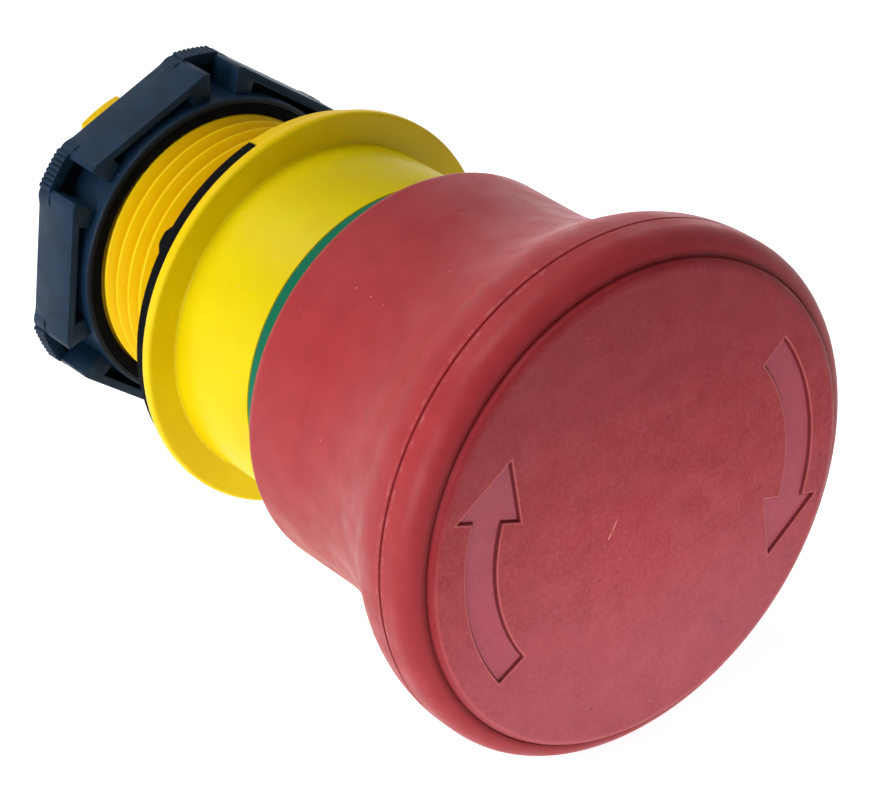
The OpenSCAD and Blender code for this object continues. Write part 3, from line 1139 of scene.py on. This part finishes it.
# Glass-filled polyamide, moulded: the fibres roughen the skin of a bluish black.
BLACK = GripPlastic(
    name="polyamide_glass_filled_black",
    slot=Slot.BLACK,
    colour="#142C42",
    tone="#0E2234",
    tone_mm=2.6,
    roughness=0.45,
    sheen_level=0.12,
    grain_mm=0.35,
    grain_depth_mm=0.006,
    pit="#05080C",
    dust="#6A7C8C",
    dust_share=0.16,
)
# Acetal, natural: smooth, waxy and slightly translucent.
WHITE = MouldedPlastic(
    name="acetal_natural_moulded",
    slot=Slot.WHITE,
    colour="#E6E2D6",
    tone="#DAD5C6",
    roughness=0.32,
    sheen_level=0.4,
    pit="#8A8474",
    dust="#FFFFFF",
    depth_mm=0.8,
)
# Acetal, grey: the same skin as the natural grade.
GREY = MouldedPlastic(
    name="acetal_grey_moulded",
    slot=Slot.GREY,
    colour="#8A8F94",
    tone="#7C8186",
    roughness=0.34,
    sheen_level=0.4,
    pit="#404346",
    dust="#D0D4D8",
)
# Nitrile rubber, moulded: matt, and the deepest black on the button.
RUBBER = Rubber(name="nitrile_rubber_moulded", slot=Slot.RUBBER)
# Oiled music wire: bright, with fine drawing lines.
SPRING_WIRE = Steel(name="music_wire_drawn", slot=Slot.SPRING)
# Zinc plate over steel: paler and duller than the wire.
ZINC = Steel(
    name="steel_zinc_plated",
    slot=Slot.ZINC,
    colour="#C6C8C4",
    tone="#A8ACA8",
    roughness=0.36,
    stretch=(1.0, 1.0, 1.0),
)


# ------------------------------------------------------------------ sub-assemblies


@dataclass
class FaceDisc:
    """Crowned face of the head, with two clockwise arrows pressed into it.

    The skin is spun in four sectors, finely through the arrows and coarsely between them.
    Each point is then lowered by a smooth function of its distance from an arrow's outline,
    and that distance is kept on the mesh for the painted highlights and shade along the arrows.
    """

    crown_r: float = 207.0
    edge_round: tuple[float, float] = (0.9, 0.42)
    groove_floor: float = 0.08
    sill_w: float = 0.19
    sill_fillet: float = 0.06
    seat_depth: float = 1.7
    spigot_r: float = 5.5
    arrow_depth: float = 0.24
    arrow_wall: float = 0.12
    shaft: tuple[float, float] = (13.15, 15.7)
    barbs: tuple[float, float] = (11.6, 17.1)
    tail: float = 36.0
    neck: float = -16.0
    tip: float = -34.5
    overlap: float = 5.0
    arrow_band: tuple[float, float] = (11.0, 17.5)
    skin_depth: float = 1.4
    far_mm: float = 9.0
    arrow_sector: float = 78.0
    arrow_steps: int = 230
    plain_steps: int = 44
    ring_step: float = 0.095

    def crown(self, radius: float, front: float) -> float:
        """Height of the crown at a radius."""
        return front - radius * radius / 2 / self.crown_r

    def distance(self, radius: float, angle: float) -> float:
        """Distance of a point from one arrow's outline.

        Args:
            radius: Radius of the point.
            angle: Its angle in degrees, measured as the arrow's own are.

        Returns:
            Millimetres, negative inside the arrow.
        """
        low, high = self.shaft
        arc_mm = radius * math.pi / 180
        beyond = max((angle - self.tail) * arc_mm, (self.neck - self.overlap - angle) * arc_mm)
        shaft = max(low - radius, radius - high, beyond)
        point = at(radius, angle, 0.0)
        corners = [
            at(self.barbs[0], self.neck, 0.0),
            at(self.barbs[1], self.neck, 0.0),
            at((low + high) / 2, self.tip, 0.0),
        ]
        sides = []
        for start, end in zip(corners, corners[1:] + corners[:1]):
            run = (end - start).normalized()
            off = point - start
            sides.append((off.x * run.z - off.z * run.x) / MM)
        return min(shaft, -min(sides))

    def press_arrows(self, bm: bmesh.types.BMesh, front: float) -> None:
        """Lowers the skin inside both arrows and records each point's distance.

        Args:
            bm: Mesh of the disc.
            front: Height of the crown's centre.
        """
        layer = bm.verts.layers.float.new("arrow_mm")
        inner, outer = self.arrow_band
        for vert in bm.verts:
            radius, angle, height = polar(vert.co)
            vert[layer] = self.far_mm
            if height < front - self.skin_depth or not inner <= radius <= outer:
                continue
            turned = (angle + 90.0) % 180.0 - 90.0
            off = self.distance(radius, turned)
            vert[layer] = off
            share = min(1.0, max(0.0, -off / self.arrow_wall))
            drop = self.arrow_depth * share * share * (3 - 2 * share)
            vert.co = at(radius, angle, self.crown(radius, front) - drop)

    def build(self) -> bpy.types.Object:
        """Builds the disc in place of the CAD one.

        Returns:
            The piece.
        """
        extent = Extent.of("face_disc")
        shell = Extent.of("cap_front")
        seat = shell.front - self.seat_depth
        sill = shell.front - self.groove_floor
        low, high = self.arrow_band
        fine = [low + i * self.ring_step for i in range(int((high - low) / self.ring_step))]
        rings = [0.0, 3.0, 6.0, 8.5, 10.2, *fine]
        rim_r = extent.radius - self.edge_round[0]
        rim_z = self.crown(rim_r, extent.front) - self.edge_round[1]
        section = [(r, self.crown(r, extent.front)) for r in rings if r < rim_r]
        section += [
            (rim_r + across * self.edge_round[0], rim_z + up * self.edge_round[1])
            for across, up in arc((0.0, 0.0), 1.0, 84.0, 0.0, 12)
        ]
        section += [
            (extent.radius, sill + self.sill_fillet),
            (extent.radius + self.sill_fillet, sill),
            (extent.radius + self.sill_w, sill),
            (extent.radius + self.sill_w, seat),
            (self.spigot_r, seat),
            (self.spigot_r, extent.rear),
            (0.0, extent.rear),
        ]
        bm = bmesh.new()
        plain = 180.0 - self.arrow_sector
        start = (self.tail + self.tip - self.arrow_sector) / 2
        for turn in (0.0, 180.0):
            for steps, first, sweep in (
                (self.arrow_steps, start + turn, self.arrow_sector),
                (self.plain_steps, start + turn - plain, plain),
            ):
                spin(bm, section, steps, first, sweep, open_section=True)
        bmesh.ops.remove_doubles(bm, verts=bm.verts, dist=3e-6)
        bmesh.ops.recalc_face_normals(bm, faces=bm.faces)
        self.press_arrows(bm, extent.front)
        return make_piece("face_disc_crowned", bm, RED_FACE, Body.HEAD, ["face_disc"], 50.0)


@dataclass
class IndicatorRing:
    """Green sleeve that the skirt uncovers while the button is released."""

    wall: float = 0.7
    edge: float = 0.12

    def build(self) -> bpy.types.Object:
        """Builds the sleeve in place of the CAD one.

        Returns:
            The piece.
        """
        extent = Extent.of("indicator_ring")
        bm = bmesh.new()
        spin(bm, extent.band(extent.radius - self.wall), 160)
        rims = [(extent.radius, extent.rear), (extent.radius, extent.front)]
        round_rings(bm, rims, self.edge, 3)
        return make_piece("indicator_sleeve", bm, GREEN, Body.HOUSING, ["indicator_ring"])


@dataclass
class Barrel:
    """Yellow moulding: collar, flange and threaded barrel."""

    thread_r: float = 10.95
    pitch: float = 1.5
    thread_depth: float = 0.915
    thread_top: float = 1.2
    spigot_r: float = 10.4
    spigot_len: float = 3.4
    bore_r: float = 8.9
    shoulder_r: float = 8.2
    shoulder_rear: float = -3.0
    collar_r: float = 13.35
    collar_bore_r: float = 11.2
    collar_floor: float = 3.6
    step_r: float = 12.6
    bead: tuple[float, float] = (0.28, 0.7)
    snap_groove: tuple[float, float, float] = (0.45, 2.55, 3.8)
    flange_t: float = 0.85
    flange_lip: float = 0.3
    foot_fillet: float = 0.22
    key_w: float = 3.0
    key_len: float = 2.4
    key_root: float = 1.4
    key_rise: float = 1.15
    boss_in_r: float = 10.65
    boss_half: float = 17.0
    lug_angle: float = 114.0
    lug_half: float = 11.0
    lug_depth: float = 0.6
    steps: int = 180

    def body_section(self) -> Profile:
        """Lays out the moulding's half section, without its thread.

        Returns:
            Radius and height of each corner.
        """
        whole = Extent.of("housing")
        gasket = Extent.of("flange_gasket")
        green = Extent.of("indicator_ring")
        root = self.thread_r - self.thread_depth
        rear, flange_top = whole.rear, gasket.front + self.flange_t
        bead_r, bead_h = self.step_r + self.bead[0], whole.front - self.bead[1]
        groove, groove_low, groove_high = self.snap_groove
        return [
            (self.bore_r, rear),
            (self.spigot_r, rear),
            (self.spigot_r, rear + self.spigot_len),
            (root, rear + self.spigot_len),
            (root, 0.0),
            (self.thread_r, 0.0),
            (self.thread_r, gasket.front),
            (whole.radius, gasket.front),
            (whole.radius, flange_top),
            *arc(
                (self.collar_r + self.foot_fillet, flange_top + self.foot_fillet),
                self.foot_fillet,
                270.0,
                180.0,
                6,
            ),
            (self.collar_r, green.rear),
            (self.step_r, green.rear),
            (self.step_r, bead_h),
            (bead_r, bead_h),
            (bead_r, whole.front),
            (self.collar_bore_r, whole.front),
            (self.collar_bore_r, self.collar_floor),
            (self.shoulder_r, self.collar_floor),
            (self.shoulder_r, self.shoulder_rear),
            (self.bore_r, self.shoulder_rear),
            (self.bore_r, rear + groove_high),
            (self.bore_r + groove, rear + groove_high),
            (self.bore_r + groove, rear + groove_low),
            (self.bore_r, rear + groove_low),
        ]

    def cut_lugs(self, bm: bmesh.types.BMesh) -> None:
        """Sinks the spigot between two bayonet lugs for the contact carrier.

        Args:
            bm: Mesh of the moulding.
        """
        rear = Extent.of("housing").rear
        for vert in bm.verts:
            radius, angle, height = polar(vert.co)
            away = abs((angle - self.lug_angle + 90.0) % 180.0 - 90.0)
            on_spigot = radius > self.bore_r + 0.6 and height < rear + self.spigot_len - 0.05
            if on_spigot and self.lug_half < away:
                vert.co = at(radius - self.lug_depth, angle, height)

    def thread(self, bm: bmesh.types.BMesh) -> None:
        """Winds the thread's ridge up the barrel, fading out at its rear end.

        Args:
            bm: Mesh of the moulding.
        """
        whole = Extent.of("housing")
        root = self.thread_r - self.thread_depth
        low = whole.rear + self.spigot_len + 0.75
        turns = (self.thread_top - low) / self.pitch
        half = (self.pitch - 0.375) / 2
        crest = self.thread_r
        ridge = [
            (root - 0.2, low - half),
            (root + 0.02, low - half + 0.02),
            (root + 0.12, low - half + 0.1),
            (crest - 0.1, low - 0.17),
            (crest - 0.03, low - 0.1),
            (crest, low),
            (crest - 0.03, low + 0.1),
            (crest - 0.1, low + 0.17),
            (root + 0.12, low + half - 0.1),
            (root + 0.02, low + half - 0.02),
            (root - 0.2, low + half),
        ]
        own = bmesh.new()
        spin(own, ridge, int(turns * self.steps), 90.0, 360.0 * turns, turns * self.pitch)
        for vert in own.verts:
            r, angle, h = polar(vert.co)
            fade = min(1.0, max(0.0, (h - low + 0.3) / 1.0))
            if r > root:
                vert.co = at(root - 0.05 + (r - root + 0.05) * fade, angle, h)
        merge(bm, own)

    def build(self) -> bpy.types.Object:
        """Builds the moulding in place of the CAD housing.

        Returns:
            The piece.
        """
        whole = Extent.of("housing")
        gasket = Extent.of("flange_gasket")
        flange_top = gasket.front + self.flange_t
        bm = bmesh.new()
        spin(bm, self.body_section(), self.steps)
        round_rings(bm, [(whole.radius, flange_top)], self.flange_lip, 5)
        round_rings(bm, [(whole.radius, gasket.front)], 0.12, 2)
        round_rings(bm, [(self.spigot_r, whole.rear)], 0.4, 4)
        self.cut_lugs(bm)
        round_rings(bm, [(self.collar_r, Extent.of("indicator_ring").rear)], 0.1, 2)
        self.thread(bm)
        side = self.key_w / 2
        foot, top = self.thread_r - self.key_root, self.thread_r + self.key_rise
        tab = [(-side, foot), (side, foot), (side, top), (-side, top)]
        prism(bm, tab, -self.key_len, 0.4, bevel=0.18)
        boss = Extent(gasket.radius - 0.1, -0.02, gasket.front + 0.02)
        spin(bm, boss.band(self.boss_in_r), 24, 90.0 - self.boss_half, 2 * self.boss_half)
        return make_piece("barrel_and_collar", bm, YELLOW, Body.HOUSING, ["housing"])


@dataclass
class Gasket:
    """Rubber ring behind the flange, broken at 12 o'clock, with a locating nub."""

    bore_r: float = 11.0
    gap_half: float = 17.5
    nub_r: float = 13.2
    nub_angle: float = 144.0
    nub_half: float = 4.0
    nub_height: float = 0.4
    edge: float = 0.22

    def build(self) -> bpy.types.Object:
        """Builds the gasket in place of the CAD one.

        Returns:
            The piece.
        """
        extent = Extent.of("flange_gasket")
        bm = bmesh.new()
        start = 90.0 + self.gap_half
        spin(bm, extent.band(self.bore_r), 130, start, 360.0 - 2 * self.gap_half)
        round_rings(bm, [(extent.radius, extent.rear)], self.edge, 3)
        nub: Profile = [
            (self.nub_r, 0.3),
            (self.nub_r, -self.nub_height),
            (extent.radius - 0.1, -self.nub_height),
            (extent.radius - 0.1, 0.3),
        ]
        own = bmesh.new()
        spin(own, nub, 8, self.nub_angle - self.nub_half, 2 * self.nub_half)
        slope = self.nub_half * 0.55
        for vert in own.verts:
            r, angle, h = polar(vert.co)
            away = abs((angle - self.nub_angle + 180.0) % 360.0 - 180.0)
            if h < 0:
                vert.co = at(r, angle, h * min(1.0, (self.nub_half - away) / slope))
        merge(bm, own)
        return make_piece("flange_gasket_ring", bm, RUBBER, Body.HOUSING, ["flange_gasket"])


@dataclass
class Nut:
    """Black nut: a tall wall along each flat, low knurled rims between them."""

    turn: float = 24.3
    flat_r: float = 13.4
    corner_rise: float = 1.35
    wall: float = 0.7
    hub_r: float = 12.35
    bore_r: float = 11.02
    ring_r: float = 11.85
    web: float = 1.0
    wall_drop: float = 0.8
    rim_t: float = 1.4
    rim_wall: float = 0.7
    rim_half: float = 8.3
    rim_blend: float = 1.5
    rib_angle: float = 17.5
    open_half: float = 5.3
    teeth: int = 8
    tooth_angle: float = 1.6
    tooth_r: float = 0.23
    flare: float = 3.4
    edge: float = 0.11

    def wall_outline(self, corner_r: float) -> Profile:
        """Outline of one flat's wall with its two ribs, centred on 3 o'clock.

        Args:
            corner_r: Radius to which the wall's ends reach.

        Returns:
            The corners, right and up.
        """
        end, rib = math.radians(30.0 - self.open_half), math.radians(self.rib_angle)
        tip = corner_r - 0.25
        hub = self.hub_r - 0.1
        inner = self.flat_r - self.wall
        half = [
            (self.flat_r, math.sqrt(tip * tip - self.flat_r * self.flat_r)),
            *((r * math.cos(a), r * math.sin(a)) for r, a in ((tip, end), (hub, end), (hub, rib))),
            (inner, math.tan(rib) * inner),
        ]
        return [(x, -y) for x, y in reversed(half)] + half

    def web_plate(self, bm: bmesh.types.BMesh, low: float, high: float) -> None:
        """Builds the rear plate, a hexagon bridged to the round bore.

        Args:
            bm: Mesh of the nut.
            low: Height of the plate's rear face.
            high: Height of its front face.
        """
        own = bmesh.new()
        loops = []
        for radius, six_sided in ((self.flat_r - 0.06, True), (self.bore_r + 0.1, False)):
            made = bmesh.ops.create_circle(own, segments=144, radius=1.0)["verts"]
            for vert in made:
                a = math.degrees(math.atan2(vert.co.y, vert.co.x))
                off = a % 60.0 - 30.0
                shaped = radius / math.cos(math.radians(off)) if six_sided else radius
                vert.co = at(min(shaped, self.flat_r + 0.9), a, low)
            loops += [e for e in own.edges if all(v in made for v in e.verts)]
        bmesh.ops.bridge_loops(own, edges=loops)
        thicken(own, own.faces[:], high - low)
        turn_round(own, self.turn)
        merge(bm, own)

    def corner(self, bm: bmesh.types.BMesh, angle: float, corner_r: float, low: float) -> None:
        """Builds one corner's low rim, which runs out into the flats, and its grip teeth.

        Args:
            bm: Mesh of the nut.
            angle: Angle of the corner, in degrees.
            corner_r: Radius of the teeth's tips.
            low: Height of the nut's rear face.
        """
        body_r = corner_r - self.tooth_r
        rim: Profile = [
            (self.hub_r - 0.3, low),
            (body_r, low),
            (body_r, low + self.rim_t),
            (body_r - self.rim_wall, low + self.rim_t),
            (body_r - self.rim_wall, low + self.web),
            (self.hub_r - 0.3, low + self.web),
        ]
        half = self.rim_half + self.flare
        own = bmesh.new()
        spin(own, rim, 26, angle - half, 2 * half)
        for vert in own.verts:
            r, a, h = polar(vert.co)
            off = abs((a - angle + 180.0) % 360.0 - 180.0)
            run = (off - self.rim_half + self.rim_blend) / (self.flare + self.rim_blend)
            share = min(1.0, max(0.0, run))
            flat = self.flat_r / math.cos(math.radians(30.0 - off)) - 0.03
            limit = body_r + (flat - body_r) * share * share * (3 - 2 * share)
            if r > body_r - 0.1:
                vert.co = at(limit, a, h)
            elif r > self.hub_r:
                vert.co = at(limit - self.rim_wall, a, h)
        merge(bm, own)
        for i in range(self.teeth):
            a = angle + (i - (self.teeth - 1) / 2) * self.tooth_angle
            tooth = bmesh.new()
            bmesh.ops.create_cone(
                tooth,
                cap_ends=True,
                segments=12,
                radius1=self.tooth_r * MM,
                radius2=self.tooth_r * 0.9 * MM,
                depth=(self.rim_t - 0.04) * MM,
            )
            lay = Matrix.Rotation(math.radians(90.0), 4, "X")
            place = Matrix.Translation(at(corner_r - self.tooth_r, a, low + self.rim_t / 2))
            bmesh.ops.transform(tooth, verts=tooth.verts, matrix=place @ lay)
            merge(bm, tooth)

    def build(self) -> bpy.types.Object:
        """Builds the nut in place of the CAD one.

        Returns:
            The piece.
        """
        extent = Extent.of("mounting_nut")
        ring = Extent.of("thrust_ring")
        corner_r = self.flat_r + self.corner_rise
        walls_top = extent.front - self.wall_drop
        bm = bmesh.new()
        self.web_plate(bm, extent.rear, extent.rear + self.web)
        for k in range(6):
            prism(
                bm,
                self.wall_outline(corner_r),
                extent.rear + 0.01,
                walls_top,
                self.turn + 30.0 + 60.0 * k,
                self.edge,
            )
            self.corner(bm, self.turn + 60.0 * k, corner_r, extent.rear + 0.03)
        hub: Profile = [
            (self.bore_r, extent.rear + 0.02),
            (self.hub_r - 0.02, extent.rear + 0.02),
            *arc((self.hub_r - 0.42, extent.front - 0.4), 0.4, 0.0, 96.0, 8),
            (self.ring_r + 0.05, extent.front - 0.03),
            (self.ring_r + 0.05, ring.rear - 0.05),
            (self.bore_r, ring.rear - 0.05),
        ]
        spin(bm, hub, 160)
        # Marks the front of the rear plate, the pockets' floors, for painted shade.
        low, high = extent.rear + self.web - 0.4, extent.rear + self.web + 0.06
        layer = bm.verts.layers.float.new("painted_shade")
        for vert in bm.verts:
            vert[layer] = 1.0 if low < polar(vert.co)[2] < high else 0.0
        return make_piece("nut_knurled", bm, BLACK, Body.NUT, ["mounting_nut"])


@dataclass
class ThrustRing:
    """Matt ring in the nut's mouth, which bears on the panel."""

    width: float = 0.83
    edge: float = 0.15

    def build(self) -> bpy.types.Object:
        """Builds the ring in place of the CAD one.

        Returns:
            The piece.
        """
        extent = Extent.of("thrust_ring")
        inner = extent.radius - self.width
        bm = bmesh.new()
        spin(bm, extent.band(inner), 144)
        round_rings(bm, [(extent.radius, extent.front), (inner, extent.front)], self.edge, 3)
        return make_piece("thrust_ring_matt", bm, RUBBER, Body.THRUST_RING, ["thrust_ring"])


@dataclass
class Coil:
    """Coil spring of round wire, with flat-cut ends."""

    node: str
    turns: float
    body: Body
    wire: float = 0.9
    sides: int = 14
    steps: int = 48

    def build(self) -> bpy.types.Object:
        """Builds the coil in place of the faceted CAD one.

        Returns:
            The piece.
        """
        extent = Extent.of(self.node)
        half = self.wire / 2
        section = arc((extent.radius - half, extent.rear + half), half, 0, 360, self.sides)[:-1]
        rise = extent.front - extent.rear - self.wire
        bm = bmesh.new()
        spin(bm, section, int(self.turns * self.steps), 0.0, 360.0 * self.turns, rise)
        return make_piece(self.node + "_wire", bm, SPRING_WIRE, self.body, [self.node])


@dataclass
class Works:
    """Shell and inner works, whose CAD shapes stay and are dressed."""

    finishes: dict[str, Finish] = field(
        default_factory=lambda: {
            "cap_skirt": RED,
            "cap_front": RED,
            "pusher_foot": RED,
            "wiper_seal": RUBBER,
            "face_seal": RUBBER,
            "latch_cage": GREY,
            "guide_bush": WHITE,
            "plunger": WHITE,
            "release_hub": WHITE,
            "latch_spring": SPRING_WIRE,
            "retaining_ring": SPRING_WIRE,
            "spring_plate": SPRING_WIRE,
            "stop_pin": SPRING_WIRE,
            "cap_screw": ZINC,
            "screw_washer": ZINC,
            "hub_screws": ZINC,
        }
    )

    def dress(self) -> None:
        """Gives each CAD node its finish."""
        for node, finish in self.finishes.items():
            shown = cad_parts[node]
            if not shown.material_slots:
                shown.data.materials.append(finish.material())
            for slot in shown.material_slots:
                slot.material = finish.material()
            LOG.info("%s: CAD shape, %s", node, finish.name)


# ------------------------------------------------------------------ studio


@dataclass(frozen=True)
class Softbox:
    """One soft lamp: where it hangs, how large it is and how bright."""

    name: str
    place: tuple[float, float, float]
    size: float
    power: float
    colour: str = "#FFFFFF"
    mirrored: bool = True

    def hang(self) -> None:
        """Hangs the lamp and points it at the button."""
        lamp = bpy.data.lights.new(self.name, "AREA")
        lamp.shape = "SQUARE"
        lamp.size = self.size
        lamp.energy = self.power
        lamp.color = linear(self.colour)[:3]
        obj = bpy.data.objects.new(self.name, lamp)
        aim = Vector((0.0, -0.012, 0.0)) - Vector(self.place)
        obj.location = self.place
        obj.rotation_euler = aim.to_track_quat("-Z", "Y").to_euler()
        obj.visible_camera = False
        obj.visible_glossy = self.mirrored
        bpy.context.scene.collection.objects.link(obj)


@dataclass
class Studio:
    """Pale floor, soft lamps, white surround and the camera."""

    camera_place: tuple[float, float, float] = (-0.158096, -0.217752, 0.142002)
    azimuth: float = -38.24
    elevation: float = 29.29
    lens: float = 163.59
    ambient: float = 0.14
    table_glow: float = 0.84
    table_white: float = 0.85
    floor_size: float = 3.0
    lamps: tuple[Softbox, ...] = (
        Softbox("overhead", (-0.25, 0.16, 0.55), 0.40, 1.9),
        Softbox("left_low", (-0.60, -0.06, 0.06), 0.40, 3.2, "#F4F8FF"),
        Softbox("before_face", (0.0, -0.066, -0.013), 0.03, 0.0045),
        Softbox("rear_right", (0.45, 0.50, 0.12), 0.30, 2.2, mirrored=False),
    )

    def surround(self) -> None:
        """Sets a world that is white to the eye and soft to the object."""
        world = bpy.data.worlds.new("studio_surround")
        bpy.context.scene.world = world
        world.use_nodes = True
        tree = world.node_tree
        tree.nodes.clear()
        soft = add_node(
            tree,
            "ShaderNodeBackground",
            None,
            {"Color": linear("#F4F7FC"), "Strength": self.ambient},
        )
        white = add_node(
            tree, "ShaderNodeBackground", None, {"Color": (1.0, 1.0, 1.0, 1.0), "Strength": 1.0}
        )
        mixed = add_node(
            tree,
            "ShaderNodeMixShader",
            None,
            {0: self.looked_at(tree), 1: soft.outputs[0], 2: white.outputs[0]},
        )
        add_node(tree, "ShaderNodeOutputWorld", None, {"Surface": mixed.outputs[0]})

    def looked_at(self, tree: bpy.types.NodeTree) -> Socket:
        """Tells rays that show a surface to the eye from those that only light the object.

        Args:
            tree: Tree of the world or of a material.

        Returns:
            1 for a ray from the camera, a reflection or a refraction.
        """
        path = add_node(tree, "ShaderNodeLightPath")
        shown = path.outputs["Is Camera Ray"]
        for kind in ("Is Glossy Ray", "Is Transmission Ray"):
            shown = add_node(
                tree,
                "ShaderNodeMath",
                {"operation": "MAXIMUM"},
                {0: shown, 1: path.outputs[kind]},
            ).outputs[0]
        return shown

    def floor(self) -> None:
        """Lays a pale light table under the button, which keeps its shadow."""
        bm = bmesh.new()
        bmesh.ops.create_grid(bm, x_segments=8, y_segments=8, size=self.floor_size / 2)
        drop = Matrix.Translation((0.0, 0.0, CAD_BOX[0].z - 0.0001))
        bmesh.ops.transform(bm, verts=bm.verts, matrix=drop)
        mesh = bpy.data.meshes.new("floor")
        bm.to_mesh(mesh)
        bm.free()
        table = bpy.data.materials.new("opal_sheet_lit")
        table.use_nodes = True
        tree = table.node_tree
        tree.nodes.clear()
        diffuse = add_node(tree, "ShaderNodeBsdfDiffuse", None, {"Color": linear("#D8D8D8")})
        seen = self.looked_at(tree)
        strength = graded(tree, (seen, 0.0, 1.0, self.table_glow, self.table_white))
        glow = add_node(
            tree, "ShaderNodeEmission", None, {"Color": linear("#FBFCFF"), "Strength": strength}
        )
        both = add_node(
            tree, "ShaderNodeAddShader", None, {0: diffuse.outputs[0], 1: glow.outputs[0]}
        )
        add_node(tree, "ShaderNodeOutputMaterial", None, {"Surface": both.outputs[0]})
        mesh.materials.append(table)
        floor = bpy.data.objects.new("floor", mesh)
        bpy.context.scene.collection.objects.link(floor)

    def camera(self) -> None:
        """Sets the camera up in front of the button, to its left and above it."""
        a, e = math.radians(self.azimuth), math.radians(self.elevation)
        right = Vector((math.cos(a), math.sin(a), 0.0))
        back = Vector((math.sin(a) * math.cos(e), -math.cos(a) * math.cos(e), math.sin(e)))
        turned = Matrix((right, back.cross(right), back)).transposed().to_4x4()
        lens = bpy.data.cameras.new("camera")
        lens.lens = self.lens
        lens.sensor_width = 36.0
        lens.clip_start = 0.01
        camera = bpy.data.objects.new("camera", lens)
        camera.matrix_world = Matrix.Translation(self.camera_place) @ turned
        bpy.context.scene.collection.objects.link(camera)
        bpy.context.scene.camera = camera

    def build(self) -> None:
        """Builds the whole studio."""
        bpy.context.scene.view_settings.view_transform = "Standard"
        self.surround()
        self.floor()
        for lamp in self.lamps:
            lamp.hang()
        self.camera()


def main() -> None:
    """Builds each sub-assembly in order, then the studio."""
    logging.basicConfig(level=logging.INFO, format="%(name)s: %(message)s")
    Works().dress()
    FaceDisc().build()
    IndicatorRing().build()
    Barrel().build()
    Gasket().build()
    Nut().build()
    ThrustRing().build()
    spring = Coil("return_spring", 4.5, Body.HOUSING).build()
    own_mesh(spring)
    Coil("torsion_spring", 5.0, Body.HEAD).build()
    Studio().build()


if __name__ == "__main__":
    main()
